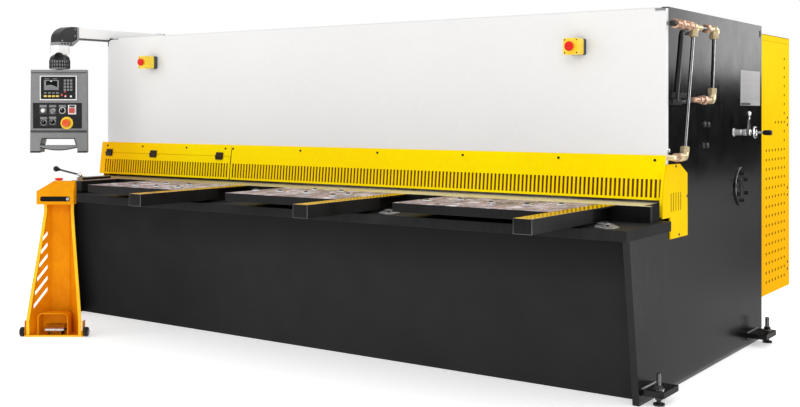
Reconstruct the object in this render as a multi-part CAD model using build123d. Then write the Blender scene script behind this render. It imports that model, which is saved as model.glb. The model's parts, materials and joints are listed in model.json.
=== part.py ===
from build123d import *
import math
import os

# Hydraulic swing-beam guillotine shear, built in millimetres, +Z up.
# Machine frame used below: X along the table, Y = 0 at the front foot corner of
# the side frames (+Y goes into the machine), Z = 0 on the floor.
# OFF moves that frame so that the origin is under the middle of the whole object.
OFF_X = 0.0
OFF_Y = -770.0

# ---------------------------------------------------------------- dimensions
XF = 1800.0          # outer face of the side frames
TF = 30.0            # side frame plate thickness
XI = XF - TF         # inner face of the side frames
H = 1649.0           # height of the side frames
DEPTH = 1640.0       # rear edge of the side frames
Y_LEDGE_FRAME = -104.0
Z_LEDGE0, Z_LEDGE1 = 694.0, 737.0
Z_TABLE = 806.0
Y_BED = 85.0         # front face of the bed beam
Y_CUT = 464.0        # cutting plane
Y_UP = 316.0         # front edge of the frames above the table
Y_PANEL = 290.0      # front face of the white panel
XLEDGE = 1850.0
Y_LEDGE = -246.0
Y_SEG = -360.0       # front of the raised table segments
Y_ARM = -660.0       # front of the sheet support arms
ARM_W = 78.0
SEG_X = [(-1172.0, -505.0), (-164.0, 520.0), (825.0, 1581.0)]
ARM_X = [-503.0, 522.0, 1583.0]
SQ_X = (-1540.0, -1450.0)
Y_SQ = -178.0
GUARD_SPLIT = -738.0
GUARD_T = 3.0
Y_REAR = 2200.0      # rear edge of the rear side guards
HINGE_Y, HINGE_Z = 270.0, 947.0
HINGE_X = [-1753.0, -1363.0, -823.0]
ESTOP_X, ESTOP_Z = {-1: -1380.0, 1: 1391.0}, 1487.0
PIVOT_Y, PIVOT_Z = 1290.0, 820.0
GAP_Y, GAP_Z = 1180.0, 1095.0
PEND_X, PEND_Y, PEND_YAW = -1850.0, -18.0, 35.0
PEND_PIVOT_Y = 758.0
PED_X, PED_Y, PED_YAW = -1288.5, -491.5, 35.0
FOOT_X, FOOT_HOLE_Y, FOOT_STUD_Y = 1862.0, (140.0, 1470.0), (65.0, 1545.0)

nodes = {}


# ------------------------------------------------------------------- helpers
def box(x0, x1, y0, y1, z0, z1):
    return Pos((x0 + x1) / 2, (y0 + y1) / 2, (z0 + z1) / 2) * Box(abs(x1 - x0), abs(y1 - y0), abs(z1 - z0))


def prism_x(pts, x0, x1):
    f = make_face(Polyline(*[(x0, y, z) for y, z in pts], close=True))
    return extrude(f, amount=x1 - x0, dir=(1, 0, 0))


def prism_y(pts, y0, y1):
    f = make_face(Polyline(*[(x, y0, z) for x, z in pts], close=True))
    return extrude(f, amount=y1 - y0, dir=(0, 1, 0))


def prism_z(pts, z0, z1):
    f = make_face(Polyline(*[(x, y, z0) for x, y in pts], close=True))
    return extrude(f, amount=z1 - z0, dir=(0, 0, 1))


def cyl(p, q, r):
    d = Vector(*q) - Vector(*p)
    return Plane(origin=p, z_dir=d) * Cylinder(r, d.length, align=(Align.CENTER, Align.CENTER, Align.MIN))


def hexa(p, q, r):
    d = Vector(*q) - Vector(*p)
    return extrude(Plane(origin=p, z_dir=d) * RegularPolygon(r, 6), amount=d.length)


def sided_prism(pts, x0, x1, side):
    return prism_x(pts, x0, x1) if side > 0 else prism_x(pts, -x1, -x0)


def sided_box(x0, x1, y0, y1, z0, z1, side):
    return box(x0, x1, y0, y1, z0, z1) if side > 0 else box(-x1, -x0, y0, y1, z0, z1)


def many(items):
    return [sol for it in items for sol in it.solids()]


def placed(s, x, y, yaw):
    return Location((x, y, 0), (0, 0, yaw)) * s


# --------------------------------------------------------------- side frames
frame_pts = [(0, 0), (Y_LEDGE_FRAME, Z_LEDGE0), (Y_UP, Z_LEDGE0), (Y_UP, H), (DEPTH, H), (DEPTH, 0)]
for side, nm in ((1, "right"), (-1, "left")):
    fr = sided_prism(frame_pts, XI, XF, side)
    fr -= sided_box(XI - 1, XF + 1, 1600, 1620, 1588, 1622, side)
    for ya, yb in ((20, 180), (1400, 1565)):
        fr += sided_box(XF, 1897, ya, yb, 40, 65, side)
    for yy in FOOT_HOLE_Y:
        fr -= cyl((side * FOOT_X, yy, 30), (side * FOOT_X, yy, 75), 11)
    for yy in FOOT_STUD_Y:
        fr -= cyl((side * 1857, yy, 30), (side * 1857, yy, 75), 10.5)
    nodes["side_frame_" + nm] = fr

studs = []
for sx in (-1, 1):
    for yy in FOOT_STUD_Y:
        x = sx * 1857
        studs.append(cyl((x, yy, 8), (x, yy, 130), 10) + cyl((x, yy, 0), (x, yy, 8), 24)
                     + hexa((x, yy, 24), (x, yy, 40), 17) + hexa((x, yy, 65), (x, yy, 81), 17))
nodes["levelling_studs"] = many(studs)

# ------------------------------------------------------------------- lower front
slope = Y_LEDGE_FRAME / Z_LEDGE0
ya0 = 89.0
ya1 = ya0 + slope * Z_LEDGE0
nodes["front_apron"] = prism_x([(ya0, 0), (ya1, Z_LEDGE0), (ya1 + 12, Z_LEDGE0), (ya0 + 12, 0)], -XI, XI)

nodes["table_base_plate"] = prism_z(
    [(-1745, Y_LEDGE), (XLEDGE, Y_LEDGE), (XLEDGE, 222), (XI, 222), (XI, 398), (-XI, 398), (-XI, 262), (-XF, 262), (-XF, -120), (-1745, -120)],
    Z_LEDGE0, Z_LEDGE1)

bed = prism_z([(-XF, Y_BED), (1812, Y_BED), (1812, 112), (XI, 112), (XI, 440), (-XI, 440), (-XI, 112), (-XF, 112)],
              Z_LEDGE1, Z_TABLE)
bed += box(-XI, XI, 398, 440, 300, Z_LEDGE1)
nodes["bed_beam"] = bed

lower_blade = box(-1640, 1640, 440, Y_CUT, 730, Z_TABLE)
upper_blade = prism_y([(-1640, 826), (1640, 868), (1640, 948), (-1640, 906)], Y_CUT + 1, 490)
nodes["shear_blades"] = many([lower_blade, upper_blade])

# raised table segments on two carriers each
for i, (xa, xb) in enumerate(SEG_X):
    s = box(xa, xb, Y_SEG, Y_BED, 767, Z_TABLE)
    for fx in (0.2, 0.8):
        xc = xa + fx * (xb - xa)
        s += box(xc - 30, xc + 30, -150, Y_BED, Z_LEDGE1, 767)
    nodes["table_segment_%d" % (i + 1)] = s

for i, xa in enumerate(ARM_X):
    xb = xa + ARM_W
    s = box(xa, xb, Y_ARM, Y_BED, 748, Z_TABLE)
    s += box(xa + 4, xb - 42, -200, 60, Z_LEDGE1, 748)
    s -= box(xb - 40, xb + 1, -140, Y_BED + 1, 740, 798)
    nodes["support_arm_%d" % (i + 1)] = s

sq = box(SQ_X[0], SQ_X[1], Y_SQ, Y_BED, 748, Z_TABLE)
sq += box(SQ_X[0] + 9, SQ_X[1] - 9, -165, 60, Z_LEDGE1, 748)
sq += box(SQ_X[0], SQ_X[0] + 25, -125, Y_BED, Z_TABLE, 820)
LEV_X, LEV_Y = -1500.0, -153.0
sq += cyl((LEV_X, LEV_Y, Z_TABLE), (LEV_X, LEV_Y, 826), 13)
sq -= cyl((LEV_X, LEV_Y, 796), (LEV_X, LEV_Y, 830), 6.05)
nodes["squaring_arm"] = sq

# --------------------------------------------------------------- upper housing
panel = box(-1785, XF, Y_PANEL, Y_UP, 960, 1642)
corner = panel.edges().filter_by(Axis.Y).sort_by(Axis.X)[:2].sort_by(Axis.Z)[-1]
panel = fillet(corner, 38)
for sx in (-1, 1):
    panel -= cyl((ESTOP_X[sx], Y_PANEL - 1, ESTOP_Z), (ESTOP_X[sx], 300, ESTOP_Z), 8.1)
nodes["front_panel"] = panel

nodes["top_cover"] = box(-XI, XI, Y_UP, 1000, 1641, H)
nodes["oil_tank"] = box(-XI, XI, 1000, 1330, 1330, H)
nodes["ram_beam"] = prism_x([(490, 880), (490, 1450), (620, 1450), (760, 1150), (700, 880)], -1700, 1700)
arms, cyls = [], []
for side in (1, -1):
    ra = sided_prism([(500, 900), (500, 1430), (640, 1430), (1390, 930), (1400, 720), (1190, 720), (900, 900)], 1700, 1748, side)
    ra += cyl((side * 1748, PIVOT_Y, PIVOT_Z), (side * XI, PIVOT_Y, PIVOT_Z), 80)
    arms.append(ra)
    rc = cyl((side * 1560, 870, 1290), (side * 1560, 870, 1641), 62) + cyl((side * 1560, 870, 1120), (side * 1560, 870, 1290), 34)
    rc += sided_box(1520, 1600, 735, 905, 1080, 1130, side)
    rc -= prism_x([(490, 880), (490, 1450), (620, 1450), (760, 1150), (700, 880)], -1700, 1700)
    cyls.append(rc)
nodes["ram_arms"] = many(arms)
nodes["ram_cylinders"] = many(cyls)

hd = box(-1700, 1700, 330, 455, 960, 1080)
HD_N = 14
for k in range(HD_N):
    x = -1560 + k * 3120 / (HD_N - 1)
    hd += cyl((x, 392, 872), (x, 392, 960), 30)
    hd += cyl((x, 392, 830), (x, 392, 872), 19)
nodes["hold_downs"] = hd

nodes["rear_tie_beam"] = box(-XI, XI, 1540, 1640, 80, 230)

rails = []
for sx in (-1, 1):
    rails.append(sided_box(1120, 1190, 440, 1540, 620, 690, sx))
nodes["back_gauge_rails"] = many(rails)
bar = box(-1600, 1600, 960, 1010, 780, 850)
for sx in (-1, 1):
    bar += sided_box(1100, 1210, 930, 1110, 690, 800, sx)
nodes["back_gauge_bar"] = bar


# ------------------------------------------------------------- finger guards
def guard_y(z):
    # outer face of the guard plate
    if z >= 912:
        return 272 + (z - 912) * (286.5 - 272) / 98.0
    return 262 + (z - 818) * 10 / 94.0


def guard_profile(z0, z1):
    zs = [z0] + [z for z in (912,) if z0 < z < z1] + [z1]
    return [(guard_y(z), z) for z in zs] + [(guard_y(z) + GUARD_T, z) for z in reversed(zs)]


SLOT_PITCH, SLOT_W, SLOT_Z0, SLOT_Z1 = 20.8, 9.6, 829.0, 907.0


def slots(x0, x1):
    n = int((x1 - x0) // SLOT_PITCH)
    off = (x1 - x0 - (n - 1) * SLOT_PITCH) / 2
    return [box(x0 + off + k * SLOT_PITCH - SLOT_W / 2, x0 + off + k * SLOT_PITCH + SLOT_W / 2, 235, 295, SLOT_Z0, SLOT_Z1)
            for k in range(n)]


g_right = prism_x(guard_profile(818, 1010), GUARD_SPLIT + 4, XF - 1)
g_right -= slots(GUARD_SPLIT + 12, XF - 5)
g_right += box(GUARD_SPLIT + 4, XF - 1, guard_y(1000) + GUARD_T - 0.5, Y_PANEL, 985, 1010)
nodes["finger_guard_right"] = g_right

XG0 = -1830.0
strip = prism_x(guard_profile(947, 1010), XG0, GUARD_SPLIT)
strip += box(-1785, GUARD_SPLIT, guard_y(1000) + GUARD_T - 0.5, Y_PANEL, 985, 1010)
door = prism_x(guard_profile(818, 941), XG0, GUARD_SPLIT)
door -= slots(XG0 + 36, GUARD_SPLIT - 6)
hinges = []
for hx in HINGE_X:
    fixed = cyl((hx - 12, HINGE_Y, HINGE_Z), (hx + 12, HINGE_Y, HINGE_Z), 5.5)
    fixed += cyl((hx - 34, HINGE_Y, HINGE_Z), (hx + 34, HINGE_Y, HINGE_Z), 2.5)
    fixed += prism_x([(HINGE_Y, 947), (HINGE_Y, 952.5), (guard_y(956) - 2, 956), (guard_y(978) - 2, 978),
                      (guard_y(978), 978), (guard_y(948), 948)], hx - 12, hx + 12)
    hinges.append(fixed)
    for sgn in (-1, 1):
        a, b = hx + sgn * 13, hx + sgn * 32
        knuckle = cyl((min(a, b), HINGE_Y, HINGE_Z), (max(a, b), HINGE_Y, HINGE_Z), 5.5)
        knuckle += prism_x([(HINGE_Y, 947), (HINGE_Y, 941.5), (guard_y(938) - 2, 938), (guard_y(918) - 2, 918),
                            (guard_y(918) + 1, 918), (guard_y(940) + 1, 940), (guard_y(941), 942)], min(a, b), max(a, b))
        knuckle -= cyl((min(a, b) - 1, HINGE_Y, HINGE_Z), (max(a, b) + 1, HINGE_Y, HINGE_Z), 2.6)
        door += knuckle
nodes["guard_hinge_strip"] = strip
nodes["guard_hinges"] = many(hinges)
nodes["finger_guard_left"] = door

covers = []
for side in (1, -1):
    front = [(234, 742), (238, 819), (258, 912), (291, 971)]
    if side < 0:                    # this one stands behind the swinging guard
        front = [(273, 742), (273, 819), (282, 912), (293, 968)]
    cover = sided_prism(front + [(437, 969), (529, 924), (531, 648), (325, 648), (325, 742)], XF, 1806, side)
    for k in range(5):
        y = 329 + k * 28.5
        cover -= sided_box(1803, 1807, y, y + 8, 766, 846, side)
    covers.append(cover)
nodes["guard_end_covers"] = many(covers)

# -------------------------------------------------------- right-hand fittings
PX, PR = 1828.0, 8.5
pipes, brass = [], []


def nut_on(p, q, length=20.0, r=17.0):
    # a pipe nut at p, on a pipe that leaves for q; returns the nut and its far face centre
    d = (Vector(*p) - Vector(*q)).normalized()
    e = Vector(*p) + d * length
    return hexa(p, (e.X, e.Y, e.Z), r), (e.X, e.Y, e.Z)


def joint_body(corner, ends, r_ball, r_leg):
    s = Pos(*corner) * Sphere(r_ball)
    for e in ends:
        s += cyl(corner, e, r_leg)
    return s


# long pipe, from the first elbow on the top line down to the lower fitting
L_TOP, L_BOT = (PX, 541, 1537), (PX, 436, 1040)
S_TOP, S_BOT = (PX, 812, 1541), (PX, 788, 1298)
pipes.append(cyl(L_BOT, L_TOP, PR))
pipes.append(cyl(S_BOT, S_TOP, PR))
Z_RUN = 1576.0
C1, C2 = (PX, 550, Z_RUN), (PX, 828, Z_RUN + 6)
n1, e1 = nut_on(L_TOP, L_BOT)
top1 = n1 + joint_body(C1, [e1, (PX, 405, Z_RUN), (PX, 640, Z_RUN)], 15, 12)
top1 += hexa((PX, 470, Z_RUN), (PX, 500, Z_RUN), 16) + hexa((PX, 380, Z_RUN), (PX, 406, Z_RUN), 16)
n2, e2 = nut_on(S_TOP, S_BOT)
top2 = n2 + joint_body(C2, [e2, (PX, 730, Z_RUN)], 15, 12) + hexa((PX, 700, Z_RUN), (PX, 731, Z_RUN), 16)
start = joint_body((PX, 303, Z_RUN), [(XF + 14, 303, Z_RUN), (PX, 322, Z_RUN)], 12, 12)
pipes += [cyl((PX, 322, Z_RUN), (PX, 380, Z_RUN), PR), cyl((PX, 640, Z_RUN), (PX, 700, Z_RUN), PR),
          cyl((XF, 303, Z_RUN), (XF + 14, 303, Z_RUN), PR)]
n3, e3 = nut_on(L_BOT, L_TOP)
low1 = n3 + joint_body((PX, 432, 1000), [e3, (PX, 303, 1000)], 14, 12) + hexa((PX, 322, 1000), (PX, 352, 1000), 16)
low1 += joint_body((PX, 303, 1000), [(XF, 303, 1000)], 12, 12)
n4, e4 = nut_on(S_BOT, S_TOP)
low2 = n4 + joint_body((PX, 780, 1250), [e4, (PX, 560, 1250)], 14, 12) + hexa((PX, 660, 1250), (PX, 690, 1250), 16)
low2 += joint_body((PX, 560, 1250), [(XF, 560, 1250)], 12, 12)
nodes["hydraulic_pipes"] = many(pipes)
nodes["pipe_fittings"] = many([start, top1, top2, low1, low2])

flanges = []
for sd in (1, -1):
    fl = cyl((sd * XF, PIVOT_Y, PIVOT_Z), (sd * 1808, PIVOT_Y, PIVOT_Z), 100)
    fl += cyl((sd * 1808, PIVOT_Y, PIVOT_Z), (sd * 1812, PIVOT_Y, PIVOT_Z), 40)
    for k in range(6):
        t = math.radians(30 + 60 * k)
        yy, zz = PIVOT_Y + 68 * math.cos(t), PIVOT_Z + 68 * math.sin(t)
        fl += hexa((sd * 1808, yy, zz), (sd * 1815, yy, zz), 10)
    flanges.append(fl)
nodes["pivot_flanges"] = many(flanges)

bush = cyl((XF, GAP_Y, GAP_Z), (1866, GAP_Y, GAP_Z), 15) + cyl((XF, GAP_Y, GAP_Z), (1806, GAP_Y, GAP_Z), 30)
bush -= cyl((1820, GAP_Y, GAP_Z), (1867, GAP_Y, GAP_Z), 8.06)
nodes["gap_lever_bush"] = bush
gl = cyl((1824, GAP_Y, GAP_Z), (1900, GAP_Y, GAP_Z), 8)
gl += prism_x([(GAP_Y - 10, GAP_Z), (GAP_Y - 26, GAP_Z + 62), (GAP_Y - 8, GAP_Z + 70), (GAP_Y + 14, GAP_Z + 62), (GAP_Y + 12, GAP_Z)], 1872, 1880)
gl += Pos(1876, GAP_Y - 6, GAP_Z + 92) * Sphere(12) + cyl((1876, GAP_Y - 6, GAP_Z + 62), (1876, GAP_Y - 6, GAP_Z + 92), 5)
gl += cyl((1898, GAP_Y, GAP_Z), (1914, GAP_Y, GAP_Z), 29)
gl += cyl((1914, GAP_Y, GAP_Z), (1948, GAP_Y, GAP_Z), 5)
gl += cyl((1948, GAP_Y, GAP_Z), (1988.5, GAP_Y, GAP_Z), 10)
nodes["gap_lever"] = gl

# ---------------------------------------------------------------- rear guards
for side, nm in ((1, "right"), (-1, "left")):
    rg = sided_box(1785, 1788, 1640, Y_REAR, 210, 1612, side)
    rg += sided_box(1772, 1788, 1640, 1643, 210, 1612, side)
    rg += sided_box(1745, 1788, Y_REAR - 3, Y_REAR, 210, 1612, side)
    rg += sided_box(1745, 1788, 1640, Y_REAR, 1609, 1612, side)
    nodes["rear_guard_" + nm] = rg

# ------------------------------------------------- stop stations on the panel
boxes = []
for sx in (-1, 1):
    x = ESTOP_X[sx]
    b = box(x - 36, x + 36, 206, Y_PANEL, ESTOP_Z - 38, ESTOP_Z + 38)
    b = fillet(b.edges().filter_by(Axis.Y), 8)
    b -= cyl((x, 205, ESTOP_Z), (x, 291, ESTOP_Z), 8.1)
    boxes.append(b)
    m = cyl((x, 182, ESTOP_Z), (x, 196, ESTOP_Z), 21) + cyl((x, 196, ESTOP_Z), (x, 240, ESTOP_Z), 8)
    nodes["panel_stop_button_%s" % ("left" if sx < 0 else "right")] = m
nodes["stop_boxes"] = many(boxes)

# ----------------------------------------------------------------- clamp lever
kx, ky, kz = LEV_X - 109, LEV_Y - 76, 872.0
cl = cyl((LEV_X, LEV_Y, 800), (LEV_X, LEV_Y, 846), 6) + cyl((LEV_X, LEV_Y, 827), (LEV_X, LEV_Y, 846), 12)
cl += cyl((LEV_X, LEV_Y, 840), (kx, ky, kz), 5) + Pos(kx, ky, kz) * Sphere(15)
nodes["clamp_lever"] = cl

# -------------------------------------------------------------------- pendant
br = box(-1812, -XF, 700, 816, 1470, 1625) + box(-1882, -1812, 718, 798, 1595, 1622)
br += prism_x([(752, 1500), (752, 1595), (764, 1595), (764, 1500)], -1870, -1812)
br += cyl((PEND_X, PEND_PIVOT_Y, 1622), (PEND_X, PEND_PIVOT_Y, 1626), 34) + cyl((PEND_X, PEND_PIVOT_Y, 1622), (PEND_X, PEND_PIVOT_Y, 1675), 15)
nodes["pendant_bracket"] = br

arm_tube = box(-1882.5, -1817.5, 92, 785, 1635, 1700) + cyl((PEND_X, PEND_PIVOT_Y, 1627), (PEND_X, PEND_PIVOT_Y, 1635), 30)
arm_tube -= cyl((PEND_X, PEND_PIVOT_Y, 1626), (PEND_X, PEND_PIVOT_Y, 1680), 15.06)
drop = box(-1882.5, -1817.5, PEND_Y - 32.5, PEND_Y + 32.5, 1530, 1593)
nodes["pendant_arm_tubes"] = many([arm_tube, drop])

elb_pts = [(-54, 1593), (-54, 1628)]
for k in range(1, 9):
    t = math.radians(90 * k / 8.0)
    elb_pts.append((-54 + 104 * (1 - math.cos(t)), 1628 + 76 * math.sin(t)))
elb_pts += [(92, 1704), (92, 1630), (50, 1593)]
elbow = prism_x(elb_pts, -1887, -1813)
collar = cyl((PEND_X, PEND_Y, 1449), (PEND_X, PEND_Y, 1512), 57)
collar += Pos(PEND_X, PEND_Y, 1521) * Cone(57, 47, 18)
collar += cyl((PEND_X, PEND_Y, 1425), (PEND_X, PEND_Y, 1449), 20)
nodes["pendant_arm_fittings"] = many([elbow, collar])

CXP = 8.0            # the box hangs a little to one side of the swivel
CONTROLS = {         # name: (x, z, stem radius)
    "start": (-91, 1203), "key": (-35, 1200), "mode": (22.5, 1203), "halt": (80, 1207),
    "sel1": (-88, 1133), "sel2": (-35, 1136), "stop": (49, 1129)}
pb = prism_y([(-165, 1444), (165, 1444), (170, 955), (112, 955), (108, 985), (60, 975), (0, 970), (-60, 975), (-108, 985),
              (-112, 955), (-170, 955)], -45, 45)
pb -= prism_y([(-98, 1036), (92, 1036), (104, 996), (-108, 996)], -50, 50)
pb &= prism_z([(-171, -46), (171, -46), (171, -26), (137, 46), (-137, 46), (-171, -26)], 950, 1450)
pb = Pos(CXP, 0, 0) * pb
pb -= cyl((0, 0, 1420), (0, 0, 1450), 20.1)
mod = box(CXP - 110, CXP + 108, -50, -45, 1264, 1409)
bp = box(CXP - 152, CXP + 137, -47, -45, 1097, 1248)
for k, (x, z) in CONTROLS.items():
    if k != "key":
        hole = cyl((CXP + x, -60, z), (CXP + x, -25, z), 5.05)
        pb -= hole
        bp -= hole


def cap(x, z, r, y0, y1):
    return cyl((CXP + x, y0, z), (CXP + x, y1, z), r) + cyl((CXP + x, y1, z), (CXP + x, -30, z), 5)


ctrl = {
    "pendant_start_button": cap(-91, 1203, 10, -58, -52),
    "pendant_halt_button": box(CXP + 80 - 14, CXP + 80 + 14, -58, -52, 1190, 1218) + cyl((CXP + 80, -52, 1207), (CXP + 80, -30, 1207), 5),
    "pendant_mode_knob": cap(22.5, 1203, 13, -56, -48) + box(CXP + 22.5 - 3.5, CXP + 22.5 + 3.5, -64, -55, 1191, 1215),
    "pendant_selector_1": cap(-88, 1133, 12, -56, -48) + box(CXP - 88 - 3.5, CXP - 88 + 3.5, -64, -55, 1122, 1144),
    "pendant_selector_2": cap(-35, 1136, 12, -56, -48) + box(CXP - 35 - 3.5, CXP - 35 + 3.5, -64, -55, 1125, 1147),
    "pendant_stop_button": cap(49, 1129, 24, -74, -60) + cyl((CXP + 49, -61, 1129), (CXP + 49, -53, 1129), 12),
}
for name, s in [("pendant_box", pb), ("pendant_module", mod), ("pendant_button_panel", bp)] + list(ctrl.items()):
    nodes[name] = placed(s, PEND_X, PEND_Y, PEND_YAW)

# ------------------------------------------------------------- pedal pedestal
base = box(-155, 155, 0, 135, 0, 6)
for sgn in (-1, 1):
    base += box(sgn * 155, sgn * 152, 0, 46, 0, 84)
hood_o = box(-84, 74, 2, 78, 6, 124)
hood_o = fillet(hood_o.edges().filter_by(Axis.Y).sort_by(Axis.Z)[-2:], 24)
hood_i = box(-81, 71, 1, 75, 6, 121)
hood_i = fillet(hood_i.edges().filter_by(Axis.Y).sort_by(Axis.Z)[-2:], 21)
base += hood_o - hood_i
base += box(-30, 30, 30, 74, 6, 26)
base -= cyl((-160, 14, 25.3), (-145, 14, 25.3), 4.05) + cyl((145, 14, 25.3), (160, 14, 25.3), 4.05)
col = box(-54, 54, 122, 125, 6, 700)
wl = math.hypot(96, 125)
SLOT_A1 = (58, 64, 74, 87, 100, 109)
for sgn in (-1, 1):
    u = Vector(sgn * 96 / wl, -125 / wl, 0)
    w_pts = [(0, 6), (wl - 5, 6), (wl - 5, 84), (124, 239), (92, 396), (60, 562), (44, 655), (44, 700), (0, 700)]
    f = make_face(Polyline(*[(sgn * 54 + u.X * a, 125 + u.Y * a, z) for a, z in w_pts], close=True))
    n = Vector(-sgn * 125 / wl, -96 / wl, 0)
    w = extrude(f, amount=3, dir=(n.X, n.Y, 0))
    if sgn < 0:
        for k, a1 in enumerate(SLOT_A1):
            zr = 540 - 60 * k
            zl = zr - (a1 - 22)
            sl = make_face(Polyline(*[(sgn * 54 + u.X * a - n.X * 5, 125 + u.Y * a - n.Y * 5, z) for a, z in
                                      [(22, zr + 11), (22, zr - 11), (a1, zl - 11), (a1, zl + 11)]], close=True))
            w -= extrude(sl, amount=14, dir=(n.X, n.Y, 0))
    col += w
head = prism_x([(42, 700), (42, 768), (62, 824), (90, 824), (90, 700)], -105, 94)
head &= prism_y([(-105, 699), (94, 699), (94, 825), (-18, 825), (-105, 771)], 30, 130)
head += box(-54, 54, 88, 125, 700, 760)
head -= box(-84, 72, 41, 58, 717, 742)
head -= cyl((5, 76, 800), (5, 76, 830), 6.05)
hb = cyl((-84, 50, 729.5), (72, 50, 729.5), 7)
head += hb
nodes["pedestal_base"] = placed(base, PED_X, PED_Y, PED_YAW)
nodes["pedestal_column"] = placed(col, PED_X, PED_Y, PED_YAW)
nodes["pedestal_head"] = placed(head, PED_X, PED_Y, PED_YAW)
ps = cyl((5, 76, 830), (5, 76, 840), 20) + cyl((5, 76, 805), (5, 76, 831), 6)
nodes["pedestal_stop_button"] = placed(ps, PED_X, PED_Y, PED_YAW)
pedal = prism_x([(69, 53), (69, 59), (14, 43), (12, 37)], -50, 50) + cyl((-55, 65, 54), (55, 65, 54), 4)
nodes["foot_pedal"] = placed(pedal, PED_X, PED_Y, PED_YAW)
for nm, sgn in (("left", -1), ("right", 1)):
    w = cyl((sgn * 159, 14, 25.3), (sgn * 181, 14, 25.3), 25) + cyl((sgn * 148, 14, 25.3), (sgn * 159, 14, 25.3), 4)
    nodes["pedestal_wheel_" + nm] = placed(w, PED_X, PED_Y, PED_YAW)

# --------------------------------------------------------------------- export
os.makedirs("parts", exist_ok=True)
for f in os.listdir("parts"):
    if f.endswith(".step") and f[:-5] not in nodes:
        os.remove(os.path.join("parts", f))
lo, hi = [1e9] * 3, [-1e9] * 3
for name, s in nodes.items():
    sols = s if isinstance(s, list) else s.solids()
    sols = [Pos(OFF_X, OFF_Y, 0) * x for x in sols]
    moved = sols[0] if len(sols) == 1 else Compound(sols)
    bb = moved.bounding_box()
    for i, (a, b) in enumerate(zip((bb.min.X, bb.min.Y, bb.min.Z), (bb.max.X, bb.max.Y, bb.max.Z))):
        lo[i], hi[i] = min(lo[i], a), max(hi[i], b)
    export_step(moved, "parts/%s.step" % name)
print(len(nodes), "nodes; box", [round(v, 1) for v in lo], [round(v, 1) for v in hi])
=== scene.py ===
import bpy
import bmesh
import json
import math
from mathutils import Matrix, Vector

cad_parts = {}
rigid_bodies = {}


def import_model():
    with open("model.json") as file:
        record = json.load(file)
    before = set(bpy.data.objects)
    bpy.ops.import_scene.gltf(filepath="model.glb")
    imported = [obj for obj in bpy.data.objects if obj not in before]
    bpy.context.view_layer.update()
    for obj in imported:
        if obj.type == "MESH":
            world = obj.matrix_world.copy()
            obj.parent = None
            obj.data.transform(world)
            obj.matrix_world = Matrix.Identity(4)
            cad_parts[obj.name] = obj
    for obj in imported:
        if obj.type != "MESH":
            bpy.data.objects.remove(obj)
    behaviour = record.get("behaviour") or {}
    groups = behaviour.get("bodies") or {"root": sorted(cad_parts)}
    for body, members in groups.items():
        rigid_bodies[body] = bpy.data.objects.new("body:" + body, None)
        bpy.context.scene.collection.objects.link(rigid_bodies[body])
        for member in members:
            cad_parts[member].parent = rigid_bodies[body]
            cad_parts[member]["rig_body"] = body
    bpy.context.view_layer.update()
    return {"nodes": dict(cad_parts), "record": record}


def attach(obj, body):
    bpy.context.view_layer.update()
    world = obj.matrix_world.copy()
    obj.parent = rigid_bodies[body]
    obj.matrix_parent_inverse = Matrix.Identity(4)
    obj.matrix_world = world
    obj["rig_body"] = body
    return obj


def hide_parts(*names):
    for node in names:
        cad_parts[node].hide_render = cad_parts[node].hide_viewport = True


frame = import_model()
NODES = frame["nodes"]

# All sizes below are in millimetres in the machine's own frame (Y = 0 at the front
# foot corner of the side frames); P() turns a point into the row frame in metres.
OFF_Y = -770.0


def P(x, y, z):
    return Vector((x / 1000.0, (y + OFF_Y) / 1000.0, z / 1000.0))


def local_frame(x, y, yaw):
    a = math.radians(yaw)
    return Matrix.Translation(P(x, y, 0)) @ Matrix.Rotation(a, 4, "Z")


MACHINE = Matrix.Translation(P(0, 0, 0))
PENDANT = local_frame(-1850.0, -18.0, 35.0)
PEDESTAL = local_frame(-1288.5, -491.5, 35.0)


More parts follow.
